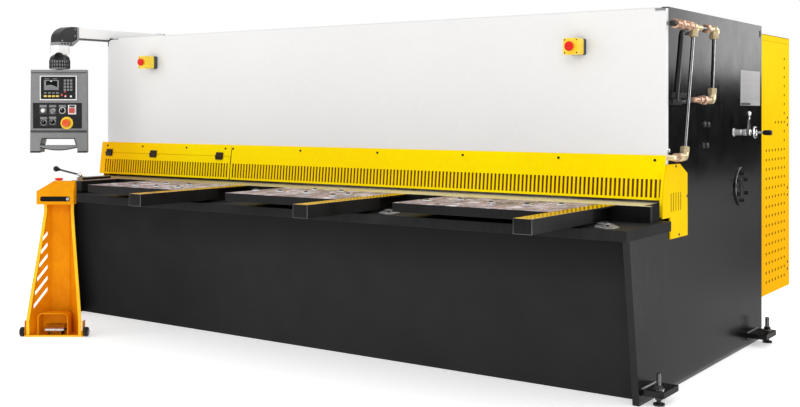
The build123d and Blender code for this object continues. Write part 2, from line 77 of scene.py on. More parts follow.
# ------------------------------------------------------------------ node helpers
class Net:
    """A small helper round one material's node tree."""

    def __init__(self, name):
        self.mat = bpy.data.materials.new(name)
        self.mat.use_nodes = True
        self.nt = self.mat.node_tree
        self.nt.nodes.clear()
        self.out = self.add("ShaderNodeOutputMaterial")
        self.bsdf = self.add("ShaderNodeBsdfPrincipled")
        self.link(self.bsdf.outputs["BSDF"], self.out.inputs["Surface"])
        self.coord = self.add("ShaderNodeTexCoord").outputs["Object"]

    def add(self, kind, **props):
        n = self.nt.nodes.new(kind)
        for k, v in props.items():
            setattr(n, k, v)
        return n

    def link(self, a, b):
        self.nt.links.new(a, b)

    def set(self, **values):
        for k, v in values.items():
            self.bsdf.inputs[k.replace("_", " ")].default_value = v
        return self

    def mapped(self, scale=(1, 1, 1), rot=(0, 0, 0)):
        m = self.add("ShaderNodeMapping")
        m.inputs["Scale"].default_value = scale
        m.inputs["Rotation"].default_value = rot
        self.link(self.coord, m.inputs["Vector"])
        return m.outputs["Vector"]

    def noise(self, scale, detail=3.0, rough=0.55, vec=None, distortion=0.0):
        n = self.add("ShaderNodeTexNoise")
        n.inputs["Scale"].default_value = scale
        n.inputs["Detail"].default_value = detail
        n.inputs["Roughness"].default_value = rough
        n.inputs["Distortion"].default_value = distortion
        self.link(vec if vec is not None else self.coord, n.inputs["Vector"])
        return n.outputs["Fac"]

    def voronoi(self, scale, feature="F1", vec=None, out="Distance"):
        n = self.add("ShaderNodeTexVoronoi", feature=feature)
        n.inputs["Scale"].default_value = scale
        self.link(vec if vec is not None else self.coord, n.inputs["Vector"])
        return n.outputs[out]

    def ramp(self, fac, stops):
        r = self.add("ShaderNodeValToRGB")
        el = r.color_ramp.elements
        while len(el) < len(stops):
            el.new(0.5)
        for e, (p, c) in zip(el, stops):
            e.position = p
            e.color = c if len(c) == 4 else (*c, 1)
        self.link(fac, r.inputs["Fac"])
        return r.outputs["Color"]

    def span(self, fac, lo, hi, a=0.0, b=1.0):
        m = self.add("ShaderNodeMapRange")
        m.inputs["From Min"].default_value = a
        m.inputs["From Max"].default_value = b
        m.inputs["To Min"].default_value = lo
        m.inputs["To Max"].default_value = hi
        self.link(fac, m.inputs["Value"])
        return m.outputs["Result"]

    def math(self, op, a, b=None):
        m = self.add("ShaderNodeMath", operation=op)
        for i, v in enumerate((a, b)):
            if v is None:
                continue
            if isinstance(v, (int, float)):
                m.inputs[i].default_value = v
            else:
                self.link(v, m.inputs[i])
        return m.outputs["Value"]

    def mix(self, fac, a, b):
        m = self.add("ShaderNodeMix", data_type="RGBA")
        for sock, v in ((m.inputs["Factor"], fac), (m.inputs[6], a), (m.inputs[7], b)):
            if isinstance(v, (int, float)):
                sock.default_value = v
            elif isinstance(v, tuple):
                sock.default_value = v if len(v) == 4 else (*v, 1)
            else:
                self.link(v, sock)
        return m.outputs[2]

    def axis(self, which):
        s = self.add("ShaderNodeSeparateXYZ")
        self.link(self.coord, s.inputs["Vector"])
        return s.outputs[which]

    def color(self, sock):
        self.link(sock, self.bsdf.inputs["Base Color"])

    def roughness(self, sock):
        self.link(sock, self.bsdf.inputs["Roughness"])

    def bump(self, height, strength=0.1, distance=0.001, after=None):
        b = self.add("ShaderNodeBump")
        b.inputs["Strength"].default_value = strength
        b.inputs["Distance"].default_value = distance
        self.link(height, b.inputs["Height"])
        if after is not None:
            self.link(after, b.inputs["Normal"])
        self.link(b.outputs["Normal"], self.bsdf.inputs["Normal"])
        return b.outputs["Normal"]


def paint(name, dark, light, rough=(0.3, 0.42), coat=0.0, peel=0.05, peel_scale=420.0, spec=0.5, mottling=1.6, painted_shade_ramp=None):
    """Enamel over plate: slow tone changes, orange peel and a few dull patches."""
    n = Net(name)
    slow = n.noise(mottling, 4, 0.6)
    fine = n.noise(38.0, 2, 0.5)
    tone = n.math("ADD", n.math("MULTIPLY", slow, 0.75), n.math("MULTIPLY", fine, 0.25))
    col = n.ramp(tone, [(0.36, dark), (0.64, light)])
    # painted shade: a colour ramp along one axis darkens and deepens the tone towards one end
    if painted_shade_ramp is not None:
        tint, x_full, x_none = painted_shade_ramp[:3]
        col = n.mix(n.span(n.axis(painted_shade_ramp[3] if len(painted_shade_ramp) > 3 else "X"), 1.0, 0.0, x_full, x_none), col, tint)
    n.color(col)
    n.roughness(n.span(n.noise(5.5, 3, 0.6), rough[0], rough[1], 0.3, 0.7))
    n.bump(n.noise(peel_scale, 2, 0.5), peel, 0.0006)
    n.set(Specular_IOR_Level=spec, Coat_Weight=coat, Coat_Roughness=0.12)
    return n.mat


def brushed(name, dark, light, along="X", rough=(0.2, 0.38), fine=900.0, metallic=1.0, scratch=0.25, blotch=None, x_tint_ramp=None):
    """Ground or rolled steel with grain along one axis."""
    n = Net(name)
    stretch = {"X": (0.012, 1, 1), "Y": (1, 0.012, 1), "Z": (1, 1, 0.012)}[along]
    grain = n.noise(fine, 3, 0.6, n.mapped(stretch))
    wide = n.noise(fine / 9.0, 2, 0.6, n.mapped(stretch))
    cloud = n.noise(4.0, 4, 0.6)
    tone = n.math("ADD", n.math("MULTIPLY", grain, 0.35), n.math("ADD", n.math("MULTIPLY", wide, 0.3), n.math("MULTIPLY", cloud, 0.35)))
    col = n.ramp(tone, [(0.34, dark), (0.66, light)])
    if blotch is not None:
        spots = n.span(n.noise(11.0, 5, 0.7), 0.0, 1.0, 0.56, 0.72)
        col = n.mix(spots, col, blotch)
    # a colour ramp along X: mostly tinted at x_full, fading out by x_none
    if x_tint_ramp is not None:
        tint, x_full, x_none = x_tint_ramp
        col = n.mix(n.span(n.axis("X"), 0.8, 0.0, x_full, x_none), col, tint)
    n.color(col)
    n.roughness(n.span(n.math("ADD", n.math("MULTIPLY", grain, 0.5), n.math("MULTIPLY", cloud, 0.5)), rough[0], rough[1], 0.3, 0.7))
    n.bump(grain, scratch, 0.0003)
    n.set(Metallic=metallic)
    return n.mat


def metal(name, dark, light, rough=(0.06, 0.14), scale=60.0, metallic=1.0):
    n = Net(name)
    n.color(n.ramp(n.noise(scale, 3, 0.6), [(0.35, dark), (0.65, light)]))
    n.roughness(n.span(n.noise(scale * 2.3, 3, 0.6), rough[0], rough[1], 0.3, 0.7))
    n.bump(n.noise(scale * 9, 2, 0.5), 0.05, 0.0002)
    n.set(Metallic=metallic)
    return n.mat


def plastic(name, dark, light, rough=(0.35, 0.5), grain=1400.0, strength=0.12, spec=0.5, coat=0.0):
    n = Net(name)
    n.color(n.ramp(n.noise(14.0, 4, 0.6), [(0.35, dark), (0.65, light)]))
    n.roughness(n.span(n.noise(22.0, 3, 0.6), rough[0], rough[1], 0.3, 0.7))
    n.bump(n.voronoi(grain), strength, 0.0003)
    n.set(Specular_IOR_Level=spec, Coat_Weight=coat)
    return n.mat


# -------------------------------------------------------------------- materials
M = {}


def mottled(name, dark, light, rough, coat=0.0, spec=0.5, stipple=0.2, streak=0.0, cloud=1.4):
    """Machine enamel over rolled plate: soft clouds, faint upright streaks and a fine stipple."""
    n = Net(name)
    clouds = n.noise(cloud, 5, 0.62, distortion=0.4)
    blot = n.noise(cloud * 7.0, 4, 0.6)
    upright = n.noise(46.0, 3, 0.6, n.mapped((1, 1, 0.06)))
    tone = n.math("ADD", n.math("MULTIPLY", clouds, 0.5), n.math("ADD", n.math("MULTIPLY", blot, 0.25), n.math("MULTIPLY", upright, 0.25)))
    n.color(n.ramp(tone, [(0.38, dark), (0.62, light)]))
    n.roughness(n.span(n.math("ADD", n.math("MULTIPLY", blot, 0.6), n.math("MULTIPLY", upright, 0.4)), rough[0], rough[1], 0.34, 0.66))
    first = n.bump(n.noise(700.0, 2, 0.5), stipple, 0.0002)
    n.bump(n.math("ADD", n.math("MULTIPLY", n.noise(9.0, 3, 0.6), 1.0), n.math("MULTIPLY", upright, streak)), 0.12, 0.002, after=first)
    n.set(Specular_IOR_Level=spec, Coat_Weight=coat, Coat_Roughness=0.08)
    return n.mat


M["frame"] = mottled("frame_enamel", (0.0026, 0.0027, 0.0030), (0.0062, 0.0063, 0.0068), (0.17, 0.26), spec=0.3)
M["dark"] = mottled("dark_enamel", (0.0050, 0.0051, 0.0055), (0.0115, 0.0117, 0.0125), (0.34, 0.46), spec=0.14)


M["ledge"] = mottled("ledge_enamel", (0.0150, 0.0150, 0.0156), (0.0270, 0.0270, 0.0280), (0.48, 0.60), spec=0.05)


def apron_enamel():
    """Satin enamel with painted shade: darker towards the left end, away from the key light, and darker under the table
    edge, where the ledge shades it.
    """
    n = Net("apron_enamel")
    tone = n.math("ADD", n.math("MULTIPLY", n.noise(0.7, 4, 0.6), 0.6), n.math("MULTIPLY", n.noise(6.0, 4, 0.6), 0.4))
    col = n.ramp(tone, [(0.36, (0.0150, 0.0150, 0.0155)), (0.64, (0.0205, 0.0205, 0.0212))])
    # painted shade: the apron darkened towards its left end
    along = n.span(n.axis("X"), 0.0, 1.0, -2.0, -0.4)
    col = n.mix(along, n.mix(0.90, col, (0.0, 0.0, 0.0)), col)
    # painted shade: the top of the apron darkened under the ledge
    under_ledge_shade = n.span(n.axis("Z"), 0.0, 0.55, 0.46, 0.69)
    col = n.mix(under_ledge_shade, col, (0.0, 0.0, 0.0))
    n.color(col)
    n.roughness(n.span(n.noise(5.0, 3, 0.6), 0.42, 0.54, 0.3, 0.7))
    first = n.bump(n.noise(700.0, 2, 0.5), 0.1, 0.0002)
    n.bump(n.noise(9.0, 3, 0.6), 0.12, 0.002, after=first)
    n.set(Specular_IOR_Level=0.1)
    return n.mat


def smeared_steel(name):
    """Rolled plate with mill scale, rust bloom and bright streaks that are partly rubbed steel and partly painted
    highlight.
    """
    n = Net(name)
    warp = n.noise(4.5, 3, 0.6, n.mapped((1.2, 0.8, 1.0)), distortion=0.8)
    patch = n.noise(15.0, 4, 0.62, n.mapped((1.15, 0.62, 1.0), (0, 0, 0.35)), distortion=1.4)
    grain = n.noise(160.0, 3, 0.6, n.mapped((0.08, 1.0, 1.0)))
    tone = n.math("ADD", n.math("MULTIPLY", patch, 0.72), n.math("ADD", n.math("MULTIPLY", warp, 0.20), n.math("MULTIPLY", grain, 0.08)))
    # the near-white top stops are partly rubbed bright steel and partly painted highlight
    col = n.ramp(tone, [(0.400, (0.105, 0.090, 0.098)), (0.455, (0.20, 0.158, 0.170)), (0.490, (0.44, 0.325, 0.345)),
                        (0.515, (0.25, 0.220, 0.238)), (0.550, (0.52, 0.435, 0.475)), (0.620, (0.86, 0.81, 0.85))])
    rust = n.span(n.noise(9.0, 4, 0.65, n.mapped((1.2, 0.7, 1.0))), 0.0, 0.55, 0.56, 0.66)
    n.color(n.mix(rust, col, (0.54, 0.31, 0.27)))
    n.roughness(n.span(patch, 0.40, 0.58, 0.35, 0.65))
    n.bump(n.math("ADD", n.math("MULTIPLY", grain, 0.4), patch), 0.12, 0.0008)
    n.set(Metallic=0.0, Specular_IOR_Level=0.12)
    return n.mat


M["apron"] = apron_enamel()
# painted shade: flat near-black put in slots, holes, gaps and cavities where only shade falls
M["inner"] = paint("inner_enamel", (0.004, 0.004, 0.0045), (0.008, 0.008, 0.0085), rough=(0.6, 0.75), peel=0.1, spec=0.1)
M["white"] = paint("white_enamel", (0.765, 0.762, 0.758), (0.80, 0.798, 0.793), rough=(0.30, 0.38), peel=0.03, spec=0.2, mottling=0.6)
# painted shade: the guard yellow darker and deeper orange towards its left end
M["yellow"] = paint("yellow_enamel", (1.0, 0.70, 0.0), (1.0, 0.80, 0.0), rough=(0.40, 0.50), peel=0.04, spec=0.02, mottling=0.9, painted_shade_ramp=((1.0, 0.47, 0.0), -1.92, -1.05))
# painted shade: a darker, deeper orange copy of the guard yellow for the rear side guards, deeper orange still towards
# the bottom
M["shaded_deep_yellow"] = paint("yellow_enamel_shaded_deep", (0.88, 0.58, 0.0), (0.95, 0.66, 0.0), rough=(0.42, 0.52), peel=0.04, spec=0.004, mottling=1.1, painted_shade_ramp=((0.83, 0.41, 0.0), 0.55, 1.5, "Z"))
# painted shade: a darker, more orange copy of the guard yellow for the end covers, toning down their lit side faces
M["yellow_side"] = paint("yellow_enamel_shaded_side", (0.86, 0.52, 0.0), (0.94, 0.61, 0.0), rough=(0.40, 0.50), peel=0.04, spec=0.008, mottling=1.4)
# painted shade with bounced light: a dark orange-brown standing for the yellow-lit shade behind the guard slots
M["inner_orange"] = paint("inner_strip_enamel", (0.20, 0.052, 0.006), (0.33, 0.100, 0.015), rough=(0.45, 0.55), peel=0.1, spec=0.1, mottling=3.0)
M["orange"] = paint("orange_powder_coat", (0.74, 0.225, 0.001), (0.86, 0.315, 0.002), rough=(0.42, 0.54), peel=0.16, peel_scale=520.0, spec=0.05, mottling=5.0)
M["orange_pale"] = paint("orange_head_coat", (0.73, 0.255, 0.001), (0.83, 0.335, 0.002), rough=(0.34, 0.44), peel=0.12, peel_scale=520.0, spec=0.07, mottling=6.0)
M["edge_yellow"] = paint("folded_edge_coat", (0.98, 0.50, 0.01), (1.0, 0.62, 0.02), rough=(0.36, 0.46), peel=0.1, spec=0.2, mottling=6.0)
M["steel_x"] = brushed("ground_steel", (0.60, 0.55, 0.53), (0.80, 0.74, 0.72), "X", rough=(0.30, 0.42), metallic=0.75)
M["steel_seg"] = smeared_steel("rolled_steel_segment")
# darker and browner towards the left end of the bed
M["steel_bed"] = brushed("ground_steel_bed", (0.74, 0.73, 0.62), (0.92, 0.91, 0.80), "X", rough=(0.26, 0.36), metallic=0.4,
                         x_tint_ramp=((0.21, 0.165, 0.125), -1.3, 0.5))
# painted reflection: an orange-gold tint standing for the yellow guards reflected in the ground arm tops
M["steel_y"] = brushed("arm_steel_painted_reflection", (0.58, 0.35, 0.22), (0.88, 0.56, 0.36), "Y", rough=(0.12, 0.20), scratch=0.12)
M["steel_sq"] = brushed("ground_steel_square", (0.25, 0.165, 0.135), (0.40, 0.275, 0.225), "Y", rough=(0.4, 0.5), metallic=0.1)
M["dark_steel"] = brushed("oiled_steel", (0.05, 0.05, 0.052), (0.11, 0.108, 0.105), "X", rough=(0.3, 0.45))
M["blade"] = brushed("blade_steel", (0.5, 0.49, 0.48), (0.7, 0.69, 0.68), "X", rough=(0.12, 0.22))
M["chrome"] = metal("polished_chrome", (0.80, 0.80, 0.81), (0.92, 0.92, 0.93), rough=(0.05, 0.11))
M["zinc"] = metal("zinc_plated", (0.50, 0.50, 0.52), (0.70, 0.70, 0.70), rough=(0.22, 0.34))
M["black_ox"] = metal("blackened_screws", (0.03, 0.03, 0.032), (0.06, 0.06, 0.06), rough=(0.3, 0.45))
M["brass"] = metal("machined_brass", (0.80, 0.62, 0.34), (0.96, 0.80, 0.52), rough=(0.18, 0.30), metallic=0.5)
M["copper"] = metal("coppery_fitting", (0.50, 0.27, 0.16), (0.78, 0.49, 0.33), rough=(0.18, 0.3), metallic=0.6)
M["bright_steel"] = brushed("bright_turned_steel", (0.66, 0.65, 0.66), (0.98, 0.97, 0.98), "X", rough=(0.12, 0.22), metallic=0.7)
M["pipe"] = metal("pressure_pipe", (0.19, 0.19, 0.195), (0.29, 0.29, 0.295), rough=(0.08, 0.14))
M["tube"] = paint("light_tube_enamel", (0.90, 0.893, 0.888), (0.95, 0.944, 0.94), rough=(0.34, 0.44), peel=0.04, spec=0.2)
M["case"] = paint("grey_case_enamel", (0.225, 0.228, 0.232), (0.272, 0.275, 0.279), rough=(0.42, 0.52), peel=0.35, peel_scale=900.0, spec=0.25)
M["case_line"] = paint("case_shadow_line", (0.060, 0.061, 0.063), (0.085, 0.086, 0.088), rough=(0.5, 0.6), peel=0.2, spec=0.2)
M["hinge"] = plastic("browned_hinge_leaf", (0.012, 0.007, 0.003), (0.034, 0.018, 0.008), rough=(0.4, 0.5), strength=0.1, spec=0.2)
# painted highlight: pale strips on the edges of the dark arm fronts
M["front_edge_highlight"] = plastic("arm_front_edge_highlight", (0.075, 0.072, 0.074), (0.17, 0.165, 0.165), rough=(0.4, 0.5), strength=0.03)
# pale steel: the gap lever plate, and painted highlights on the side bolt heads and the flange rims
M["wear_and_highlight"] = metal("worn_steel_and_highlight", (0.26, 0.26, 0.27), (0.62, 0.62, 0.63), rough=(0.24, 0.36), scale=30.0)
M["black"] = plastic("black_plastic", (0.0035, 0.0035, 0.004), (0.008, 0.008, 0.009), rough=(0.26, 0.38), spec=0.35)
M["panel_black"] = plastic("panel_black", (0.010, 0.010, 0.011), (0.018, 0.018, 0.020), rough=(0.4, 0.55), spec=0.3)
M["white_p"] = plastic("white_plastic", (0.84, 0.84, 0.83), (0.92, 0.92, 0.91), rough=(0.3, 0.4), strength=0.05)
M["grey_p"] = plastic("grey_plastic", (0.20, 0.205, 0.21), (0.28, 0.285, 0.29), rough=(0.35, 0.45), strength=0.05)
M["grey_label"] = plastic("blank_label_grey", (0.20, 0.20, 0.21), (0.27, 0.27, 0.28), rough=(0.4, 0.5), strength=0.03)
M["yellow_p"] = plastic("yellow_plastic", (0.95, 0.64, 0.02), (1.0, 0.74, 0.05), rough=(0.25, 0.35), strength=0.05)
M["yellow_key"] = plastic("yellow_key_plastic", (0.80, 0.56, 0.10), (0.88, 0.66, 0.16), rough=(0.3, 0.4), strength=0.04)
M["red"] = plastic("red_plastic", (0.66, 0.008, 0.004), (0.80, 0.014, 0.007), rough=(0.3, 0.4), strength=0.03, spec=0.25)
M["ring"] = metal("burnished_ring", (0.42, 0.41, 0.42), (0.70, 0.69, 0.70), rough=(0.14, 0.26))
M["cast_pale"] = brushed("pale_cast_clamp", (0.12, 0.118, 0.12), (0.42, 0.41, 0.415), "X", rough=(0.3, 0.42), metallic=0.25, fine=200.0)
M["orange_red"] = plastic("mushroom_plastic", (0.80, 0.08, 0.008), (0.90, 0.13, 0.012), rough=(0.25, 0.35), strength=0.03, coat=0.2)
M["red_key"] = plastic("red_key_plastic", (0.50, 0.05, 0.04), (0.62, 0.09, 0.07), rough=(0.3, 0.4), strength=0.04)
M["glass"] = plastic("display_window", (0.004, 0.0045, 0.005), (0.009, 0.010, 0.011), rough=(0.04, 0.08), strength=0.0, coat=0.6)
M["plate_silver"] = brushed("blank_data_plate", (0.34, 0.335, 0.335), (0.47, 0.46, 0.46), "Y", rough=(0.40, 0.52), metallic=0.2, fine=420.0)
M["rubber"] = plastic("wheel_rubber", (0.008, 0.008, 0.008), (0.016, 0.016, 0.0155), rough=(0.55, 0.7), grain=900, strength=0.3, spec=0.3)
M["weld"] = brushed("weld_bead", (0.30, 0.30, 0.31), (0.55, 0.55, 0.56), "Y", rough=(0.28, 0.4), fine=500.0)

SLOT_MAT = {"dark_paint": "frame", "apron_paint": "apron", "white_paint": "white", "yellow_paint": "yellow", "orange_paint": "orange",
            "tool_steel": "steel_x", "dark_steel": "dark_steel", "chromed": "chrome", "brass_metal": "brass", "light_tube": "tube",
            "grey_case": "case", "black_plastic": "black", "yellow_plastic": "yellow_p", "red_plastic": "red", "white_plastic": "white_p",
            "wheel_rubber": "rubber"}
NODE_SLOT = {s["node"]: s["material_slot"] for s in frame["record"]["subparts"]}
BODY_OF = {n: o["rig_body"] for n, o in NODES.items()}


# ---------------------------------------------------------------- mesh builders
class Build:
    """Collects plain solids in one mesh, in millimetres in a given frame."""

    def __init__(self, base=MACHINE):
        self.bm = bmesh.new()
        self.base = base
        self.mats = []
        self.cur = 0

    def use(self, key):
        if key not in self.mats:
            self.mats.append(key)
        self.cur = self.mats.index(key)
        return self

    def _faces(self, fs):
        for f in fs:
            f.material_index = self.cur
            f.smooth = True
        return fs

    def solid(self, verts, faces):
        vs = [self.bm.verts.new(v) for v in verts]
        return self._faces([self.bm.faces.new([vs[i] for i in f]) for f in faces])

    def box(self, x0, x1, y0, y1, z0, z1, turn=None, about=None):
        v = [Vector((x, y, z)) for z in (z0, z1) for y in (y0, y1) for x in (x0, x1)]
        if turn is not None:
            c = Vector(about) if about is not None else Vector(((x0 + x1) / 2, (y0 + y1) / 2, (z0 + z1) / 2))
            v = [c + turn @ (p - c) for p in v]
        return self.solid(v, [(0, 2, 3, 1), (4, 5, 7, 6), (0, 1, 5, 4), (2, 6, 7, 3), (0, 4, 6, 2), (1, 3, 7, 5)])

    def prism(self, pts, a, b, axis="x"):
        """A straight-sided solid: pts is the outline across the axis, from a to b along it."""
        def at(u, v, w):
            return {"x": (w, u, v), "y": (u, w, v), "z": (u, v, w)}[axis]
        area = sum(pts[i][0] * pts[(i + 1) % len(pts)][1] - pts[(i + 1) % len(pts)][0] * pts[i][1] for i in range(len(pts)))
        if (area > 0) == (axis == "y"):
            pts = pts[::-1]
        if a > b:
            a, b = b, a
        n = len(pts)
        v = [at(u, w, a) for u, w in pts] + [at(u, w, b) for u, w in pts]
        f = [tuple(range(n))[::-1], tuple(range(n, 2 * n))] + [(i, (i + 1) % n, n + (i + 1) % n, n + i) for i in range(n)]
        return self.solid(v, f)

    def lathe(self, p, q, profile, seg=24, cap=True, phase=0.0):
        """Turned solid along p to q; profile is a list of (distance from p, radius)."""
        p, q = Vector(p), Vector(q)
        d = (q - p).normalized()
        u = d.orthogonal().normalized()
        w = d.cross(u)
        rings = []
        for t, r in profile:
            c = p + d * t
            rings.append([self.bm.verts.new(c + (u * math.cos(2 * math.pi * k / seg + phase) + w * math.sin(2 * math.pi * k / seg + phase)) * max(r, 1e-4))
                          for k in range(seg)])
        fs = []
        for a, b in zip(rings, rings[1:]):
            for k in range(seg):
                fs.append(self.bm.faces.new((a[k], a[(k + 1) % seg], b[(k + 1) % seg], b[k])))
        if cap:
            fs.append(self.bm.faces.new(rings[0][::-1]))
            fs.append(self.bm.faces.new(rings[-1]))
        return self._faces(fs)

    def cyl(self, p, q, r, seg=24):
        return self.lathe(p, q, [(0, r), ((Vector(q) - Vector(p)).length, r)], seg)

    def hexa(self, p, q, r, phase=0.0):
        return self.lathe(p, q, [(0, r), ((Vector(q) - Vector(p)).length, r)], 6, phase=phase)

    def dome(self, p, q, r, rise, flat=0.0, seg=24, rings=6):
        """A button-like dome on a short cylinder of length flat."""
        prof = [(0, r), (flat, r)] if flat > 0 else [(0, r)]
        for k in range(1, rings + 1):
            t = math.pi / 2 * k / rings
            prof.append((flat + rise * math.sin(t), r * math.cos(t)))
        prof[-1] = (prof[-1][0], r * 0.02)
        return self.lathe(p, q, prof, seg)

    def ball(self, c, r, seg=24, rings=14):
        prof = [(r - r * math.cos(math.pi * k / rings), r * math.sin(math.pi * k / rings)) for k in range(rings + 1)]
        prof[0], prof[-1] = (0.0, r * 0.02), (2 * r, r * 0.02)
        c = Vector(c)
        return self.lathe(c - Vector((0, 0, r)), c + Vector((0, 0, r)), prof, seg)

    def tube(self, path, r, seg=16, closed=False):
        """A round tube swept along a list of points."""
        pts = [Vector(p) for p in path]
        n = len(pts)
        rings, u = [], None
        for i, p in enumerate(pts):
            a = pts[(i - 1) % n] if (closed or i > 0) else p
            b = pts[(i + 1) % n] if (closed or i < n - 1) else p
            d = (b - a).normalized()
            u = d.orthogonal().normalized() if u is None else (u - d * u.dot(d)).normalized()
            w = d.cross(u)
            rings.append([self.bm.verts.new(p + (u * math.cos(2 * math.pi * k / seg) + w * math.sin(2 * math.pi * k / seg)) * r) for k in range(seg)])
        fs = []
        for i in range(n if closed else n - 1):
            a, b = rings[i], rings[(i + 1) % n]
            for k in range(seg):
                fs.append(self.bm.faces.new((a[k], a[(k + 1) % seg], b[(k + 1) % seg], b[k])))
        if not closed:
            fs.append(self.bm.faces.new(rings[0][::-1]))
            fs.append(self.bm.faces.new(rings[-1]))
        return self._faces(fs)

    def sheet(self, outline_faces):
        return self._faces(outline_faces)

    def done(self, name, body, bevel=0.0, segs=2, replaces=(), angle=32.0, weighted=True):
        bmesh.ops.transform(self.bm, matrix=self.base @ Matrix.Diagonal((0.001, 0.001, 0.001, 1.0)), verts=self.bm.verts)
        me = bpy.data.meshes.new(name)
        self.bm.normal_update()
        self.bm.to_mesh(me)
        self.bm.free()
        ob = bpy.data.objects.new(name, me)
        bpy.context.scene.collection.objects.link(ob)
        for k in self.mats:
            me.materials.append(M[k])
        finish_edges(ob, bevel, segs, angle, weighted)
        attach(ob, body)
        if replaces:
            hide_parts(*replaces)
        return ob


def finish_edges(ob, bevel, segs=2, angle=32.0, weighted=True):
    me = ob.data
    if bevel > 0:
        b = ob.modifiers.new("edges", "BEVEL")
        b.width = bevel / 1000.0
        b.segments = segs
        b.limit_method = "ANGLE"
        b.angle_limit = math.radians(angle)
        b.use_clamp_overlap = True
        b.miter_outer = "MITER_ARC"
        if weighted:
            w = ob.modifiers.new("normals", "WEIGHTED_NORMAL")
            w.mode = "FACE_AREA"
            w.weight = 60
    else:
        bm = bmesh.new()
        bm.from_mesh(me)
        for e in bm.edges:
            if len(e.link_faces) == 2 and e.calc_face_angle(0) > math.radians(angle):
                e.smooth = False
        bm.to_mesh(me)
        bm.free()


def from_node(node, name, mat, bevel=1.0, segs=2, body=None, split=None):
    """A copy of a CAD node's mesh with its faces joined up and its edges rounded; stands for that node."""
    src = NODES[node].data
    bm = bmesh.new()
    bm.from_mesh(src)
    bmesh.ops.remove_doubles(bm, verts=bm.verts, dist=1e-5)
    bmesh.ops.dissolve_limit(bm, angle_limit=math.radians(0.4), verts=bm.verts, edges=bm.edges, delimit={"NORMAL"})
    for f in bm.faces:
        f.smooth = True
        f.material_index = 0
        if split is not None:
            f.material_index = split(f)
    me = bpy.data.meshes.new(name)
    bm.normal_update()
    bm.to_mesh(me)
    bm.free()
    ob = bpy.data.objects.new(name, me)
    bpy.context.scene.collection.objects.link(ob)
    for k in (mat if isinstance(mat, (list, tuple)) else [mat]):
        me.materials.append(M[k])
    finish_edges(ob, bevel, segs)
    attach(ob, body or BODY_OF[node])
    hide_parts(node)
    return ob


def finish_node(node, mat=None):
    o = NODES[node]
    o.data.materials.clear()
    o.data.materials.append(M[mat or SLOT_MAT[NODE_SLOT[node]]])


for nm in NODES:
    finish_node(nm)

# --------------------------------------------------- edges of the plates and castings
def mach(f):
    """Middle of a face in the machine frame, in millimetres."""
    c = f.calc_center_median()
    return c.x * 1000.0, c.y * 1000.0 - OFF_Y, c.z * 1000.0


def guard_y(z):
    return 272 + (z - 912) * (286.5 - 272) / 98.0 if z >= 912 else 262 + (z - 818) * 10 / 94.0


PLATES = {
    "side_frame_left": ("frame", 2.0), "side_frame_right": ("frame", 2.0), "front_apron": ("apron", 1.0),
    "table_base_plate": ("ledge", 3.0), "front_panel": ("white", 2.0), "top_cover": ("white", 1.5),
    "oil_tank": ("dark", 2.5), "rear_tie_beam": ("dark", 3.0), "back_gauge_bar": ("dark", 2.0),
    "pendant_bracket": ("frame", 1.5), "pendant_arm_tubes": ("tube", 5.0), "pedestal_base": ("orange", 1.0),
    "guard_end_covers": ("yellow_side", 0.8), "guard_hinge_strip": ("yellow", 0.7),
}
for nd, (mt, wd) in PLATES.items():
    from_node(nd, nd + "_finish", mt, wd)


# ---- table: ground tops on dark bodies
def top_split(z_top):
    def f(face):
        return 0 if face.normal.z > 0.9 and abs(face.calc_center_median().z - z_top) < 0.0015 else 1
    return f


for k in (1, 2, 3):
    from_node("support_arm_%d" % k, "support_arm_%d_finish" % k, ("steel_y", "dark"), 1.4, split=top_split(0.806))
    from_node("table_segment_%d" % k, "table_segment_%d_finish" % k, ("steel_seg", "dark"), 1.6, split=top_split(0.806))
from_node("bed_beam", "bed_beam_finish", ("steel_bed", "dark"), 1.2, split=top_split(0.806))


def sq_split(face):
    z = face.calc_center_median().z
    return 0 if face.normal.z > 0.9 and z > 0.8 else 1


from_node("squaring_arm", "squaring_arm_finish", ("steel_sq", "dark"), 1.2, split=sq_split)

# graduated fence edge on the squaring arm: plain cut marks only
b = Build()
b.use("steel_sq")
for k in range(20):
    b.box(-1539.2, -1530.0 if k % 5 else -1525.0, -118 + k * 10, -117.2 + k * 10, 820.0, 820.25)
b.done("squaring_arm_marks", "machine", 0.0)

# ball units let into the raised segments
BALLS = {1: [(-1076, -262), (-904, -268), (-744, -266), (-606, -246), (-683, -92), (-860, -90), (-1040, -90)],
         2: [(-124, -185), (17, -167), (184, -170), (397, -231), (93, 9), (261, 3), (406, -129)],
         3: [(901, -205), (991, -76), (1196, -156), (1369, -155), (1480, -60)]}
for k, spots in BALLS.items():
    b = Build()
    for x, y in spots:
        b.use("ring")
        b.lathe((x, y, 806), (x, y, 816), [(0.0, 27.0), (1.6, 27.0), (2.6, 26.0), (2.6, 19.5), (5.2, 17.5), (6.4, 15.6), (6.4, 12.6), (2.2, 12.2)], 28)
        b.use("dark_steel")
        b.ball((x, y, 804.6), 14.0, 24, 14)
        b.use("black_ox")
        for a in range(3):
            t = math.radians(30 + 120 * a)
            b.dome((x + 23 * math.cos(t), y + 23 * math.sin(t), 808.0), (x + 23 * math.cos(t), y + 23 * math.sin(t), 812.0), 2.4, 1.2, 0.4, 10, 3)
    b.done("segment_%d_ball_units" % k, "machine", 0.0, angle=40)

